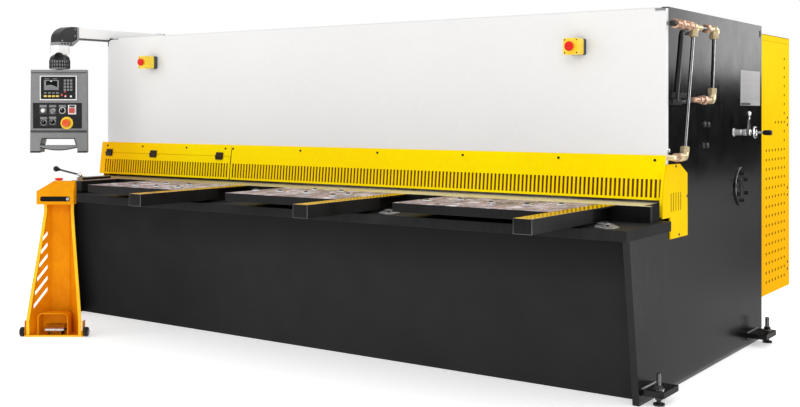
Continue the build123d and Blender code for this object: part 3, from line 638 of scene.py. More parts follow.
# screws on the arm fronts, clamp brackets on the ledge beside arms 2 and 3
b = Build()
for xa in (-503.0, 522.0, 1583.0):
    # painted highlight: pale strips along the bottom and side edges of each arm front
    b.use("front_edge_highlight")
    for x0, x1, z0, z1 in ((xa - 0.2, xa + 78.2, 748.0, 749.2), (xa - 0.2, xa + 1.0, 749.2, 804.6), (xa + 77.0, xa + 78.2, 749.2, 804.6)):
        b.prism([(x0, z0), (x1, z0), (x1, z1), (x0, z1)], -660.0, -657.6, "y")
    for dx in (5.0, 72.0):
        x = xa + dx
        b.use("bright_steel")
        b.lathe((x, -658.0, 757), (x, -660, 757), [(0, 4.6), (1.2, 4.6), (1.9, 4.0), (1.9, 2.2), (0.8, 2.0)], 18)
b.done("arm_front_fittings", "machine", 0.0)

b = Build()
for x0, far in ((601.0, 0), (1662.0, 1)):
    b.use("cast_pale")
    b.prism([(x0, -20), (x0 + 34, -36), (x0 + 118, -150), (x0 + 126, -214), (x0 + 96, -232), (x0 + 30, -196), (x0, -120)], 737.0, 741.0, "z")
    b.prism([(x0 + 4, -50), (x0 + 30, -62), (x0 + 66, -122), (x0 + 60, -160), (x0 + 4, -118)], 741.0, 748.0, "z")
    b.prism([(x0 + 60, -140), (x0 + 96, -176), (x0 + 104, -206), (x0 + 84, -214), (x0 + 54, -176)], 741.0, 745.0, "z")
    b.use("black_ox")
    for px, py, pz_ in ((x0 + 32, -96, 754), (x0 + 84, -190, 751)):
        b.hexa((px, py, 741.5), (px, py, pz_), 8.5)
b.done("ledge_clamp_wedges", "machine", 1.2)

# a black block behind the ends of the bed, seen between it and the end covers: painted shade standing for the dark
# cavity there
b = Build()
b.use("inner")
b.box(1770.2, 1798, 113, 222, 737.2, 805.0)
b.done("bed_end_shadow_block", "machine", 0.6)


# ---- guards: hinges, lip, screws
HINGES = (-1753.0, -1363.0, -823.0)


def slotted(bb, x0, x1, s0, s1, z_top):
    """Folded guard sheet with upright slots, in clean four-sided faces."""
    pitch, half = 20.8, 5.5
    n = int((s1 - s0) // pitch)
    first = s0 + (s1 - s0 - (n - 1) * pitch) / 2
    xs = [x0]
    for k in range(n):
        xs += [first + k * pitch - half, first + k * pitch + half]
    xs.append(x1)
    zs = [818.0, 829.0, 907.0, 912.0, z_top]
    grid = {}

    def g(i, j, back):
        if (i, j, back) not in grid:
            grid[(i, j, back)] = bb.bm.verts.new((xs[j], guard_y(zs[i]) + 3.0 * back, zs[i]))
        return grid[(i, j, back)]

    def open_at(i, j):
        return i == 1 and j % 2 == 1 and 0 < j < len(xs) - 1

    fs = []
    ni, nj = len(zs) - 1, len(xs) - 1
    for i in range(ni):
        for j in range(nj):
            if open_at(i, j):
                fs.append(bb.bm.faces.new((g(i, j, 0), g(i, j, 1), g(i, j + 1, 1), g(i, j + 1, 0))))
                fs.append(bb.bm.faces.new((g(i + 1, j, 0), g(i + 1, j + 1, 0), g(i + 1, j + 1, 1), g(i + 1, j, 1))))
                fs.append(bb.bm.faces.new((g(i, j, 0), g(i + 1, j, 0), g(i + 1, j, 1), g(i, j, 1))))
                fs.append(bb.bm.faces.new((g(i, j + 1, 0), g(i, j + 1, 1), g(i + 1, j + 1, 1), g(i + 1, j + 1, 0))))
            else:
                fs.append(bb.bm.faces.new((g(i, j, 0), g(i, j + 1, 0), g(i + 1, j + 1, 0), g(i + 1, j, 0))))
                fs.append(bb.bm.faces.new((g(i, j, 1), g(i + 1, j, 1), g(i + 1, j + 1, 1), g(i, j + 1, 1))))
    for j in range(nj):
        fs.append(bb.bm.faces.new((g(0, j, 0), g(0, j, 1), g(0, j + 1, 1), g(0, j + 1, 0))))
        fs.append(bb.bm.faces.new((g(ni, j, 0), g(ni, j + 1, 0), g(ni, j + 1, 1), g(ni, j, 1))))
    for i in range(ni):
        fs.append(bb.bm.faces.new((g(i, 0, 0), g(i + 1, 0, 0), g(i + 1, 0, 1), g(i, 0, 1))))
        fs.append(bb.bm.faces.new((g(i, nj, 0), g(i, nj, 1), g(i + 1, nj, 1), g(i + 1, nj, 0))))
    bb._faces(fs)


b = Build()
b.use("yellow")
slotted(b, -732.5, 1799.0, -726.0, 1795.0, 1010.0)
b.box(-732.5, 1799.0, guard_y(1000) + 2.5, 290.0, 985, 1010)
# a black block behind the joint between the door and this guard: painted shade seen through the gap
b.use("inner")
b.prism([(guard_y(820) + 4.0, 820), (guard_y(912) + 4.0, 912), (guard_y(984) + 4.0, 984), (289.0, 984), (289.0, 820)], -745.0, -729.0, "x")
b.done("finger_guard_right_slotted", "machine", 0.5, segs=1, replaces=("finger_guard_right",))

d = Build()
d.use("yellow")
slotted(d, -1830.0, -739.5, -1794.0, -744.0, 945.2)
b = Build()
for hx in HINGES:
    b.use("hinge")
    b.prism([(guard_y(950) - 6, 950), (guard_y(967) - 6, 967), (guard_y(967), 967), (guard_y(950), 950)], hx - 26, hx + 26, "x")
    b.lathe((hx - 12, 270, 947), (hx + 12, 270, 947), [(0, 5.0), (0.6, 5.5), (23.4, 5.5), (24, 5.0)], 24)
    b.cyl((hx - 30, 270, 947), (hx + 30, 270, 947), 2.5, 14)
    d.use("hinge")
    d.prism([(guard_y(926) - 6, 926), (265.5, 944), (274, 944), (guard_y(941), 941.5), (guard_y(926), 926)], hx - 26, hx + 26, "x")
    for sx in (-1, 1):
        d.lathe((hx + sx * 12.6, 270, 947), (hx + sx * 27, 270, 947), [(0, 5.0), (0.6, 5.5), (13.8, 5.5), (14.4, 5.0)], 24)
    for sx in (-16, 16):
        b.use("black_ox")
        b.lathe((hx + sx, guard_y(960) - 5.6, 960), (hx + sx, guard_y(960) - 9, 960), [(0, 4.4), (1.0, 4.2), (1.8, 3.0), (1.8, 1.6), (0.8, 1.5)], 14)
        d.use("black_ox")
        d.lathe((hx + sx, guard_y(933) - 5.6, 933), (hx + sx, guard_y(933) - 9, 933), [(0, 4.4), (1.0, 4.2), (1.8, 3.0), (1.8, 1.6), (0.8, 1.5)], 14)
b.done("guard_hinges_finish", "machine", 0.5, replaces=("guard_hinges",))
d.done("finger_guard_left_slotted", "guard_door", 0.5, segs=1, replaces=("finger_guard_left",))

b = Build()
# a dark orange-brown strip behind the guard slots and a block behind the last slot: painted shade, with bounced yellow
# light, seen through the slots
b.use("inner_orange")
b.prism([(291.5, 822), (293.5, 822), (293.5, 959), (291.5, 959)], -1764, 1764, "x")
b.prism([(293.5, 822), (304, 822), (304, 824), (293.5, 824)], -1764, 1764, "x")
b.box(1770.6, 1797, 277, 288, 821, 908)
b.done("guard_inner_strip", "machine", 0.5)

b = Build()
b.use("yellow")
b.prism([(284.5, 944.5), (284.5, 985), (289.5, 985), (289.5, 930), (287.5, 930), (287.5, 944.5)], -1828, -740, "x")
b.done("guard_seam_lip", "machine", 0.4)

b = Build()
b.use("black_ox")
for x in (-1777, -1463, -1093, -783, -724, -234, 275, 783, 1293, 1752):
    y = guard_y(988)
    b.lathe((x, y + 0.2, 988), (x, y - 6, 988), [(0, 6.6), (0.8, 6.6), (0.9, 4.8), (3.4, 4.6), (4.2, 3.8), (4.2, 2.3), (2.2, 2.2)], 18)
b.done("guard_cap_screws", "machine", 0.0)

b = Build()
# black bars in the end-cover slots: painted shade standing for the dark inside of the slots
b.use("inner")
for sx in (1, -1):
    for k in range(5):
        y = 329 + k * 28.5
        b.box(sx * 1802.6, sx * 1805.2, y + 0.3, y + 7.7, 766.3, 845.7) if sx > 0 else b.box(-1805.2, -1802.6, y + 0.3, y + 7.7, 766.3, 845.7)
b.use("black_ox")
for sx in (1, -1):
    for y, z in ((388, 960), (522, 823), (425, 660)):
        b.lathe((sx * 1805.8, y, z), (sx * 1811, y, z), [(0, 6.6), (1.6, 6.2), (2.6, 4.6), (2.6, 2.2), (1.4, 2.0)], 18)
b.done("end_cover_screws", "machine", 0.0)

# folded edge of the right end cover
b = Build()
b.use("yellow")
for sx in (1, -1):
    if sx > 0:
        b.prism([(236, 748), (239.5, 748), (243.2, 819), (262.6, 910), (292, 968), (288, 968), (259, 912), (239.6, 820)], 1790, 1800.2, "x")
b.done("end_cover_returns", "machine", 0.5)

# ---- white housing: end caps and hairline edge strips
b = Build()
b.use("grey_p")
b.prism([(1752, 1632), (1799, 1632), (1799, 1642), (1752, 1642)], 286.5, 290.2, "y")
b.use("black")
b.prism([(-1784, 1598), (-1779, 1598), (-1779, 1616), (-1770, 1630), (-1752, 1637.5), (-1690, 1637.5), (-1690, 1641.5), (-1755, 1641.5), (-1776, 1634), (-1784, 1617)], 288.5, 291.0, "y")
b.done("panel_edge_trims", "machine", 0.4)

# ---- right-hand side: pipes, fittings, flange, lever, bolts, blank plate
from_node("pipe_fittings", "pipe_fittings_finish", ("brass", "copper", "black_ox"), 1.6,
          split=lambda f: 2 if mach(f)[1] < 324 and mach(f)[2] > 1500 else 1 if (mach(f)[1] < 520 and mach(f)[2] > 1500) or (mach(f)[1] < 745 and 1200 < mach(f)[2] < 1300) or (690 < mach(f)[1] < 735 and mach(f)[2] > 1500) else 0)
from_node("hydraulic_pipes", "hydraulic_pipes_finish", "pipe", 0.0)
b = Build()
b.use("brass")
PX = 1828.0


def nut(bb, c, axis, r, w):
    """A hexagon nut with turned chamfers, centred on c."""
    c, axis = Vector(c), Vector(axis).normalized()
    bb.hexa(c - axis * w / 2, c + axis * w / 2, r)
    bb.lathe(c - axis * (w / 2 + 1.6), c + axis * (w / 2 + 1.6), [(0, r * 0.72), (1.6, r * 0.84), (w + 1.6, r * 0.84), (w + 3.2, r * 0.72)], 24)


nut(b, (PX, 541, 1546), (0, 0.16, 1), 23.5, 30)
nut(b, (PX, 812, 1550), (0, 0.1, 1), 23.5, 30)
nut(b, (PX, 790, 1291), (0, 0.1, 1), 22.0, 26)
nut(b, (PX, 437, 1031), (0, 0.2, 1), 22.0, 24)
b.tube([(PX, 436, 1020), (PX, 434, 1006), (PX, 424, 999), (PX, 398, 999)], 17.5, 20)
b.lathe((PX, 398, 1000), (PX, 360, 1000), [(0, 17.5), (2, 18.5), (20, 18.5), (22, 15), (38, 14)], 24)
b.use("copper")
nut(b, (PX, 334, 1000), (0, 1, 0), 19.5, 26)
b.lathe((PX, 316, 1576), (PX, 518, 1576), [(0, 15), (2, 20), (26, 20), (28, 16.5), (62, 16.5), (64, 19), (92, 19), (94, 16.5), (140, 16.5), (143, 21), (180, 21), (182, 17), (202, 17)], 28)
nut(b, (PX, 486, 1576), (0, 1, 0), 22.5, 34)
nut(b, (PX, 394, 1576), (0, 1, 0), 22.5, 26)
nut(b, (PX, 716, 1576), (0, 1, 0), 22.0, 34)
nut(b, (PX, 675, 1250), (0, 1, 0), 22.0, 30)
nut(b, (PX, 620, 1250), (0, 1, 0), 18.0, 16)
b.use("brass")
b.tube([(PX, 528, 1576), (PX, 548, 1577), (PX, 560, 1571), (PX, 560, 1556)], 19.0, 20)
b.tube([(PX, 800, 1578), (PX, 818, 1580), (PX, 832, 1574), (PX, 834, 1560)], 19.0, 20)
b.tube([(PX, 790, 1276), (PX, 789, 1258), (PX, 778, 1250), (PX, 758, 1250)], 18.0, 20)
b.done("pipe_nuts", "machine", 0.8)

# the return pipe close to the frame, black, from the top line to the lower block
b = Build()
b.use("black")
b.tube([(1816, 470, 1550), (1816, 452, 1549), (1816, 436, 1544), (1816, 427, 1528), (1816, 417, 1480), (1816, 372, 1290), (1816, 366, 1262), (1816, 364, 1240)], 12.5, 18)
b.lathe((1816, 470, 1550), (1816, 500, 1550), [(0, 13), (6, 15), (22, 15), (30, 12)], 20)
b.box(1800.2, 1822, 318, 420, 1226, 1250)
b.box(1800.2, 1814, 330, 520, 1256, 1280)
b.tube([(1812, 420, 1238), (1812, 470, 1240), (1812, 520, 1244), (1812, 556, 1249)], 9.0, 14)
b.done("return_pipe_black", "machine", 1.0)

b = Build()
b.use("black_ox")
for y, z in ((760, 1138), (812, 1137), (742, 1041), (795, 1040)):
    b.hexa((1799.8, y, z), (1808, y, z), 10.5, phase=0.3)
    b.lathe((1799.8, y, z), (1812, y, z), [(0, 14), (1.6, 14), (1.6, 7.2), (9.6, 7.2), (11, 6)], 18)
    # painted highlight: a thin pale ring standing for glints on each bolt head
    b.use("wear_and_highlight")
    b.lathe((1807.2, y, z), (1812, y, z), [(0, 10.6), (1.0, 10.0), (1.2, 9.2), (0.3, 9.2)], 18)
    b.use("black_ox")
b.use("chrome")
b.lathe((1799.8, 311, 1030), (1810, 311, 1030), [(0, 12), (1.4, 12), (1.4, 9.5), (8, 9.2), (9.2, 8), (9.2, 5), (5, 5)], 24)
b.done("frame_side_bolts", "machine", 0.3)

b = Build()
b.use("plate_silver")
b.box(1799.8, 1801.8, 1286, 1606, 1228, 1406)
b.use("case_line")
b.box(1801.6, 1802.6, 1290, 1440, 1230, 1242)
b.use("zinc")
for y in (1294, 1598):
    for z in (1250, 1398):
        b.dome((1801.7, y, z), (1804, y, z), 3.0, 1.4, 0.2, 12, 3)
b.done("blank_data_plate", "machine", 0.4)

b = Build()
for sd in (1, -1):
    c = (sd * 1800, 1290, 820)
    b.use("frame")
    b.lathe(c, (sd * 1860, 1290, 820), [(0, 101), (1.6, 101), (1.6, 99.4), (6.0, 98.8), (7.6, 97.4), (8.0, 95), (8.0, 43), (8.8, 41), (11.4, 40), (12.0, 38), (12.0, 14), (9.5, 12)], 64)
    # painted highlight: a pale arc along the front and upper part of each flange rim
    b.use("wear_and_highlight")
    arc = [math.radians(98 + 7.0 * k) for k in range(16)]
    b.tube([(sd * 1807.6, 1290 + 97.4 * math.cos(t), 820 + 97.4 * math.sin(t)) for t in arc], 1.5, 8)
    b.use("dark_steel")
    for k in range(6):
        t = math.radians(30 + 60 * k)
        y, z = 1290 + 68 * math.cos(t), 820 + 68 * math.sin(t)
        b.hexa((sd * 1807.8, y, z), (sd * 1822, y, z), 10.4)
        b.lathe((sd * 1807.8, y, z), (sd * 1812, y, z), [(0, 12), (1.4, 12), (1.6, 10)], 18)
b.done("pivot_flanges_detail", "machine", 0.5, replaces=("pivot_flanges",), angle=30)

GY, GZ = 1180.0, 1095.0
b = Build()
b.use("bright_steel")
b.lathe((1799.8, GY, GZ), (1870, GY, GZ), [(0, 21), (4, 21), (6, 19), (6, 15.5), (8, 14.5), (40, 14.5), (41, 12.5), (47, 12.5), (48, 15.5), (64, 15.5), (66, 14), (66, 9)], 32)
b.use("zinc")
for k in range(4):
    t = math.radians(45 + 90 * k)
    b.lathe((1804, GY + 17.6 * math.cos(t), GZ + 17.6 * math.sin(t)), (1812, GY + 17.6 * math.cos(t), GZ + 17.6 * math.sin(t)), [(0, 2.0), (2.4, 2.0), (3.0, 1.7), (3.0, 1.0), (2, 0.9)], 12)
b.done("gap_lever_bush_detail", "machine", 0.5, replaces=("gap_lever_bush",))

b = Build()
b.use("chrome")
b.lathe((1866.5, GY, GZ), (1912, GY, GZ), [(0, 9), (2, 14), (4, 16), (16, 16), (18, 13), (30, 12)], 28)
b.use("wear_and_highlight")
b.prism([(GY - 17, GZ - 6), (GY - 18, GZ + 8), (GY - 5, GZ + 66), (GY + 5, GZ + 66), (GY + 18, GZ + 8), (GY + 17, GZ - 6)], 1872, 1880, "x")
b.use("chrome")
b.lathe((1876, GY, GZ + 64), (1876, GY, GZ + 88), [(0, 6.5), (4, 6.5), (5, 4.6), (24, 4.6)], 18)
b.ball((1876, GY, GZ + 92), 12.5, 24, 14)
b.lathe((1896, GY, GZ), (1916, GY, GZ), [(0, 14), (2, 26), (4, 29), (8, 30), (13, 29), (15, 25), (15, 17), (12, 14), (12, 7), (19, 6)], 40)
b.use("bright_steel")
b.cyl((1912, GY, GZ), (1950, GY, GZ), 5.6, 18)
b.use("black")
b.lathe((1945, GY, GZ), (1988.5, GY, GZ), [(0, 8), (2, 11.5), (8, 12.6), (34, 13.2), (39.5, 12.2), (42.5, 9), (43.5, 4)], 28)
b.done("gap_lever_detail", "blade_gap_lever", 0.5, replaces=("gap_lever",), angle=35)

# ---- rear side guards: folded sheet with rows of small holes
COL_Y = [1761, 1816, 1872, 1928, 1985, 2042, 2100]
ROWS = [1.493 - 0.0507 * k for k in range(26)]


def perforated(side):
    """Flat sheet at one side, its holes cut as real openings, folded at the rear and top."""
    bb = Build()
    bb.use("shaded_deep_yellow")
    bm_ = bb.bm
    ys = [1640.0]
    for y in COL_Y:
        ys += [y - 14, y + 14]
    ys.append(2200.0)
    zs = [210.0]
    rows = sorted(z * 1000 for z in ROWS if z > 0.24)
    for z in rows:
        zs += [z - 14, z + 14]
    zs.append(1578.0)
    holes = {}
    for i, z in enumerate(rows):
        top_k = round((1493.0 - z) / 50.7)
        for j, y in enumerate(COL_Y):
            if j == 6 or (top_k == 7 and j >= 3) or top_k >= 10:
                holes[(2 * i + 1, 2 * j + 1)] = (y, z)
    xa, xb = 1785.0, 1788.0

    def v(x, y, z):
        return bm_.verts.new((side * x, y, z))

    def quad(pts):
        f = bm_.faces.new(pts if side > 0 else pts[::-1])
        f.material_index = bb.cur
        return f
    R = 8.8
    grid = {}

    def g(x, i, j):
        key = (x, i, j)
        if key not in grid:
            grid[key] = v(x, ys[j], zs[i])
        return grid[key]
    for i in range(len(zs) - 1):
        for j in range(len(ys) - 1):
            if (i, j) in holes:
                cy, cz = holes[(i, j)]
                rings = []
                for x in (xb, xa):
                    c = [g(x, i, j), g(x, i, j + 1), g(x, i + 1, j + 1), g(x, i + 1, j)]
                    ring = [v(x, cy + R * math.cos(math.radians(225 + 45 * k)), cz + R * math.sin(math.radians(225 + 45 * k))) for k in range(8)]
                    rings.append(ring)
                    for q in range(4):
                        a0, a1, a2 = ring[2 * q], ring[(2 * q + 1) % 8], ring[(2 * q + 2) % 8]
                        pts = [c[q], c[(q + 1) % 4], a2, a1, a0]
                        quad(pts if x == xb else pts[::-1])
                # the hole walls in flat black: painted shade inside the holes
                bb.use("inner")
                for k in range(8):
                    quad([rings[0][k], rings[0][(k + 1) % 8], rings[1][(k + 1) % 8], rings[1][k]])
                bb.use("shaded_deep_yellow")
            else:
                quad([g(xb, i, j), g(xb, i, j + 1), g(xb, i + 1, j + 1), g(xb, i + 1, j)])
                quad([g(xa, i, j), g(xa, i + 1, j), g(xa, i + 1, j + 1), g(xa, i, j + 1)])
    ni, nj = len(zs) - 1, len(ys) - 1
    for j in range(nj):
        quad([g(xa, 0, j), g(xa, 0, j + 1), g(xb, 0, j + 1), g(xb, 0, j)])
        quad([g(xb, ni, j), g(xb, ni, j + 1), g(xa, ni, j + 1), g(xa, ni, j)])
    for i in range(ni):
        quad([g(xb, i, 0), g(xb, i + 1, 0), g(xa, i + 1, 0), g(xa, i, 0)])
        quad([g(xa, i, nj), g(xa, i + 1, nj), g(xb, i + 1, nj), g(xb, i, nj)])

    def sb(x0, x1, *rest):
        bb.box(*((x0, x1) if side > 0 else (-x1, -x0)), *rest)
    sb(1782, 1788, 1640, 2200, 1579.5, 1612)          # top band above the fold line
    sb(1745, 1788, 1640, 2200, 1609, 1612)
    sb(1745, 1785.5, 2197, 2200, 210, 1610)
    sb(1772, 1785.5, 1640, 1643, 210, 1610)
    # a black sheet just behind the holes: painted shade seen through them
    bb.use("inner")
    sb(1770, 1771.5, 1644, 2196, 214, 1606)
    bb.use("black_ox")
    for z in (1162, 1122, 765, 725, 345, 305):
        if side > 0:
            bb.lathe((1787.6, 2160, z), (1794, 2160, z), [(0, 7.5), (1.6, 7.2), (3.2, 5.0), (3.2, 2.6), (1.6, 2.4)], 16)
        else:
            bb.lathe((-1787.6, 2160, z), (-1794, 2160, z), [(0, 7.5), (1.6, 7.2), (3.2, 5.0), (3.2, 2.6), (1.6, 2.4)], 16)
    nm = "rear_guard_right" if side > 0 else "rear_guard_left"
    bb.done(nm + "_perforated", "machine", 0.0, replaces=(nm,), angle=25)


perforated(1)
perforated(-1)

# ---- feet: weld beads, washers and nuts
b = Build()
for sx in (1, -1):
    for ya, yb in ((20, 180), (1400, 1565)):
        b.use("weld")
        n = int((yb - ya) / 6)
        path = [(sx * 1801.5, ya + (yb - ya) * k / n, 66.0 + 0.9 * math.sin(k * 2.1)) for k in range(n + 1)]
        b.tube(path, 3.6, 8)
        path = [(sx * 1801.5, ya + (yb - ya) * k / n, 39.0 - 0.7 * math.sin(k * 1.7)) for k in range(n + 1)]
        b.tube(path, 3.0, 8)
    for yy in (65.0, 1545.0):
        b.use("zinc")
        b.lathe((sx * 1857, yy, 64.8), (sx * 1857, yy, 70), [(0, 24), (3, 24), (3.4, 23)], 28)
        b.lathe((sx * 1857, yy, 128), (sx * 1857, yy, 133), [(0, 10), (1.6, 9), (2.0, 8)], 20)
        for k in range(16):
            b.lathe((sx * 1857, yy, 82 + 3 * k), (sx * 1857, yy, 85 + 3 * k), [(0, 9.4), (1.4, 10.4), (2.8, 9.4)], 16, cap=False)
    for yy in (140.0, 1470.0):
        b.use("black_ox")
        b.lathe((sx * 1862, yy, 64.9), (sx * 1862, yy, 67), [(0, 15), (0.6, 15), (0.8, 12.5), (0.5, 11.2)], 24)
b.done("foot_welds_and_washers", "machine", 0.0)

# ---- stop stations: yellow head on a dark base, red mushroom
for sx, nm in ((-1, "left"), (1, "right")):
    X, Z = (1391.0 if sx > 0 else -1380.0), 1487.0
    m = Build()
    m.use("red")
    m.lathe((X, 241, Z), (X, 170, Z), [(0, 7.5), (30, 7.5), (36, 9.0), (43, 13.5), (46.5, 20.0), (49.5, 21.4), (53, 21.4), (55.5, 20.4), (57.6, 17.2), (58.6, 12.0), (59.0, 5.0)], 40)
    m.done("stop_mushroom_" + nm, "stop_" + nm, 0.0, replaces=("panel_stop_button_" + nm,), angle=34)
b = Build()
for sx in (-1, 1):
    X, Z = (1391.0 if sx > 0 else -1380.0), 1487.0

    def rounded(r_, half):
        out = []
        for cx, cz, a0 in ((half - r_, half - r_, 0), (-(half - r_), half - r_, 90), (-(half - r_), -(half - r_), 180), (half - r_, -(half - r_), 270)):
            for k in range(5):
                t = math.radians(a0 + 22.5 * k)
                out.append((X + cx + r_ * math.cos(t), Z + cz + r_ * math.sin(t)))
        return out
    b.use("yellow_p")
    b.prism(rounded(9, 37), 206.5, 262, "y")
    b.use("case_line")
    b.prism(rounded(7, 36.4), 262, 290, "y")
    b.use("yellow_p")
    b.lathe((X, 206.8, Z), (X, 200, Z), [(0, 30), (1.5, 30), (3.0, 28.5), (3.0, 12), (0.4, 11)], 36)
    b.use("black_ox")
    for dx, dz in ((-29, 29), (29, 29), (-29, -29), (29, -29)):
        b.lathe((X + dx, 206.7, Z + dz), (X + dx, 203, Z + dz), [(0, 3.6), (0.8, 3.4), (1.0, 2.0), (0.4, 1.8)], 12)
b.done("stop_station_bodies", "machine", 2.2, segs=3, replaces=("stop_boxes",), angle=40)

# ---- clamp lever
b = Build()
kx, ky, kz = -1609.0, -229.0, 872.0
b.use("chrome")
b.lathe((-1500, -153, 826.3), (-1500, -153, 850), [(0, 9), (1, 14), (3, 15), (14, 15), (17, 13), (18, 8), (22, 7), (23, 5)], 32)
b.cyl((-1500, -153, 800), (-1500, -153, 830), 6.0, 18)
b.use("dark_steel")
b.tube([(-1500, -153, 838), (-1512, -161, 842), (-1560, -195, 857), (kx + 8, ky + 6, kz - 2)], 5.2, 14)
b.use("black")
b.ball((kx, ky, kz), 16.0, 28, 16)
b.lathe((kx + 19, ky + 13, kz - 5), (kx, ky, kz), [(0, 5.5), (2, 7.5), (10, 10.0)], 18)
b.done("clamp_lever_detail", "clamp", 0.0, replaces=("clamp_lever",), angle=36)
b = Build()
b.use("zinc")
b.hexa((-1500, -153, 806), (-1500, -153, 820), 17)
b.lathe((-1500, -153, 806), (-1500, -153, 828), [(0, 21), (2.2, 21), (2.4, 14.0), (19.6, 13.2)], 28)
b.done("clamp_lever_seat", "machine", 0.4)

# ---- pendant arm: tubes, elbow, collar
b = Build()
b.use("case_line")
b.prism([(-1885.5, 1631.5), (-1814.5, 1631.5), (-1814.5, 1639), (-1816.6, 1639), (-1816.6, 1634.4), (-1883.4, 1634.4), (-1883.4, 1639), (-1885.5, 1639)], 96, 700, "y")
b.use("black")
b.box(-1884.5, -1815.5, 778, 787.5, 1633, 1702)
b.lathe((-1850, 758, 1699), (-1850, 758, 1703.5), [(0, 30), (2.4, 30), (4, 27), (4, 12)], 36)
b.use("grey_p")
b.lathe((-1850, 92, 1668), (-1850, 90, 1668), [(0, 4), (1, 4)], 12)
b.done("pendant_arm_trims", "pendant_arm", 0.5)

PXm, PYm = -1850.0, -18.0


b = Build()
b.use("black")
outer = [(-54, 1606)]
for k in range(0, 15):
    t = math.radians(90 * k / 14.0)
    outer.append((-54 + 104 * (1 - math.cos(t)), 1626 + 78 * math.sin(t)))
outer += [(80, 1704), (80, 1612), (38, 1606)]
b.prism(outer, -1887, -1813, "x")
b.use("grey_p")
b.prism([(-56, 1591), (-56, 1609), (38, 1609), (79, 1628), (79, 1704), (93, 1704), (93, 1622), (52, 1591)], -1888.5, -1811.5, "x")
b.use("black")
b.prism([(-54, 1588), (50, 1588), (50, 1593), (-54, 1593)], -1886, -1814, "x")
for k in range(4):
    b.box(-1811.8, -1810.8, -40 + 22 * k, -26 + 22 * k, 1596, 1605)
b.use("grey_p")
for y, z in ((-28, 1618), (66, 1650), (66, 1690)):
    b.lathe((-1813.2, y, z), (-1808, y, z), [(0, 5.5), (1.4, 5.0), (2.0, 3.4), (0.8, 3.0)], 16)
b.done("arm_elbow_detail", "pendant_arm", 3.0, segs=3, angle=40)

b = Build()
c = (PXm, PYm)
b.use("grey_p")
b.lathe((*c, 1449), (*c, 1520), [(0, 55.5), (3, 57), (15, 57), (16, 54.8), (18, 54.8), (19, 57), (34, 57), (35, 54.8), (37, 54.8), (38, 57), (52, 57), (53, 54.8), (55, 54.8), (56, 57)], 56)
b.use("black")
b.lathe((*c, 1504), (*c, 1545), [(0, 57.4), (7, 57.4), (13, 55.5), (20, 50.5), (26, 43), (29, 36), (30, 33)], 56)
for k in range(24):
    a = 2 * math.pi * k / 24
    rr = 57.2
    b.box(PXm + rr * math.cos(a) - 2.6, PXm + rr * math.cos(a) + 2.6, PYm + rr * math.sin(a) - 2.6, PYm + rr * math.sin(a) + 2.6, 1453, 1503)
for z in (1465.0, 1484.0):
    b.lathe((*c, z - 3.2), (*c, z + 3.2), [(0, 56.0), (0.8, 58.4), (5.6, 58.4), (6.4, 56.0)], 56)
f = Vector((math.sin(math.radians(35)), -math.cos(math.radians(35)), 0))
s = Vector((math.cos(math.radians(35)), math.sin(math.radians(35)), 0))
q = Vector((PXm, PYm, 0)) + f * 34
p0 = Vector((q.x, q.y, 1521)) + s * 8
b.lathe(p0, p0 + f * 28, [(0, 27), (14, 27), (20, 25), (23, 20), (23, 8)], 32)
b.use("tube")
b.box(PXm - 38, PXm + 38, PYm - 38, PYm + 38, 1538, 1590)
b.use("case_line")
for sx, sy in ((-1, -1), (1, 1)):
    b.box(PXm + sx * 38 - 0.8, PXm + sx * 38 + 0.8, PYm + sy * 38 - 0.8, PYm + sy * 38 + 0.8, 1540, 1589)
b.use("black")
b.cyl((*c, 1425), (*c, 1449), 20.0, 28)
b.done("arm_collar_detail", "pendant_arm", 0.0, angle=36)
# the two plain fittings of the arm are stood for by the elbow and the collar
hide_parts("pendant_arm_fittings")

# ---- pendant case and its panels
CX = 8.0


def ring_prism(bb, x0, x1, z0, z1, r, ya, yb):
    out = []
    for cx, cz, a0 in ((x1 - r, z1 - r, 0), (x0 + r, z1 - r, 90), (x0 + r, z0 + r, 180), (x1 - r, z0 + r, 270)):
        for k in range(5):
            t = math.radians(a0 + 22.5 * k)
            out.append((cx + r * math.cos(t), cz + r * math.sin(t)))
    return bb.prism(out, ya, yb, "y")


from_node("pendant_box", "pendant_box_finish", "case", 3.0, 3)
b = Build(PENDANT)
b.use("case")
ring_prism(b, CX - 165.5, CX + 165.5, 1429, 1444.5, 2, -47.5, -43)
b.use("case_line")
b.box(CX - 165, CX + 165, -46.0, -44.5, 1424, 1429)
b.box(CX - 167.5, CX + 167.5, -45.8, -44.5, 1072, 1086)
b.use("black")
for sx in (-1, 1):
    ring_prism(b, CX + sx * 139 - 29, CX + sx * 139 + 29, 953, 962, 3, -47, -24)
b.use("case_line")
for k in range(6):
    b.box(CX + 139.6, CX + 140.6, -12 + 9 * k, -8 + 9 * k, 1300, 1380)
b.done("pendant_case_lines", "pendant", 0.5)

b = Build(PENDANT)
# painted shade: black tubes along the rim of the grip hole
b.use("black")
for (xa, za), (xb, zb) in (((-100, 1037), (94, 1037)), ((-108, 998), (-99, 1036)), ((93, 1036), (104, 998))):
    b.tube([(CX + xa, -45.5, za), (CX + (xa + xb) / 2, -45.5, (za + zb) / 2), (CX + xb, -45.5, zb)], 2.6, 10)
b.use("case")
path = []
for k in range(13):
    s_ = k / 12.0
    path.append((CX - 112 + 220 * s_, -40, 992 - 16 * math.sin(math.pi * s_)))
b.tube(path, 7.5, 16)
# painted shade: a black line under the grip bar
b.use("black")
b.tube([(x, -44.5, z - 7.5) for x, _, z in path], 2.6, 10)
b.done("pendant_grip_edge", "pendant", 0.0)

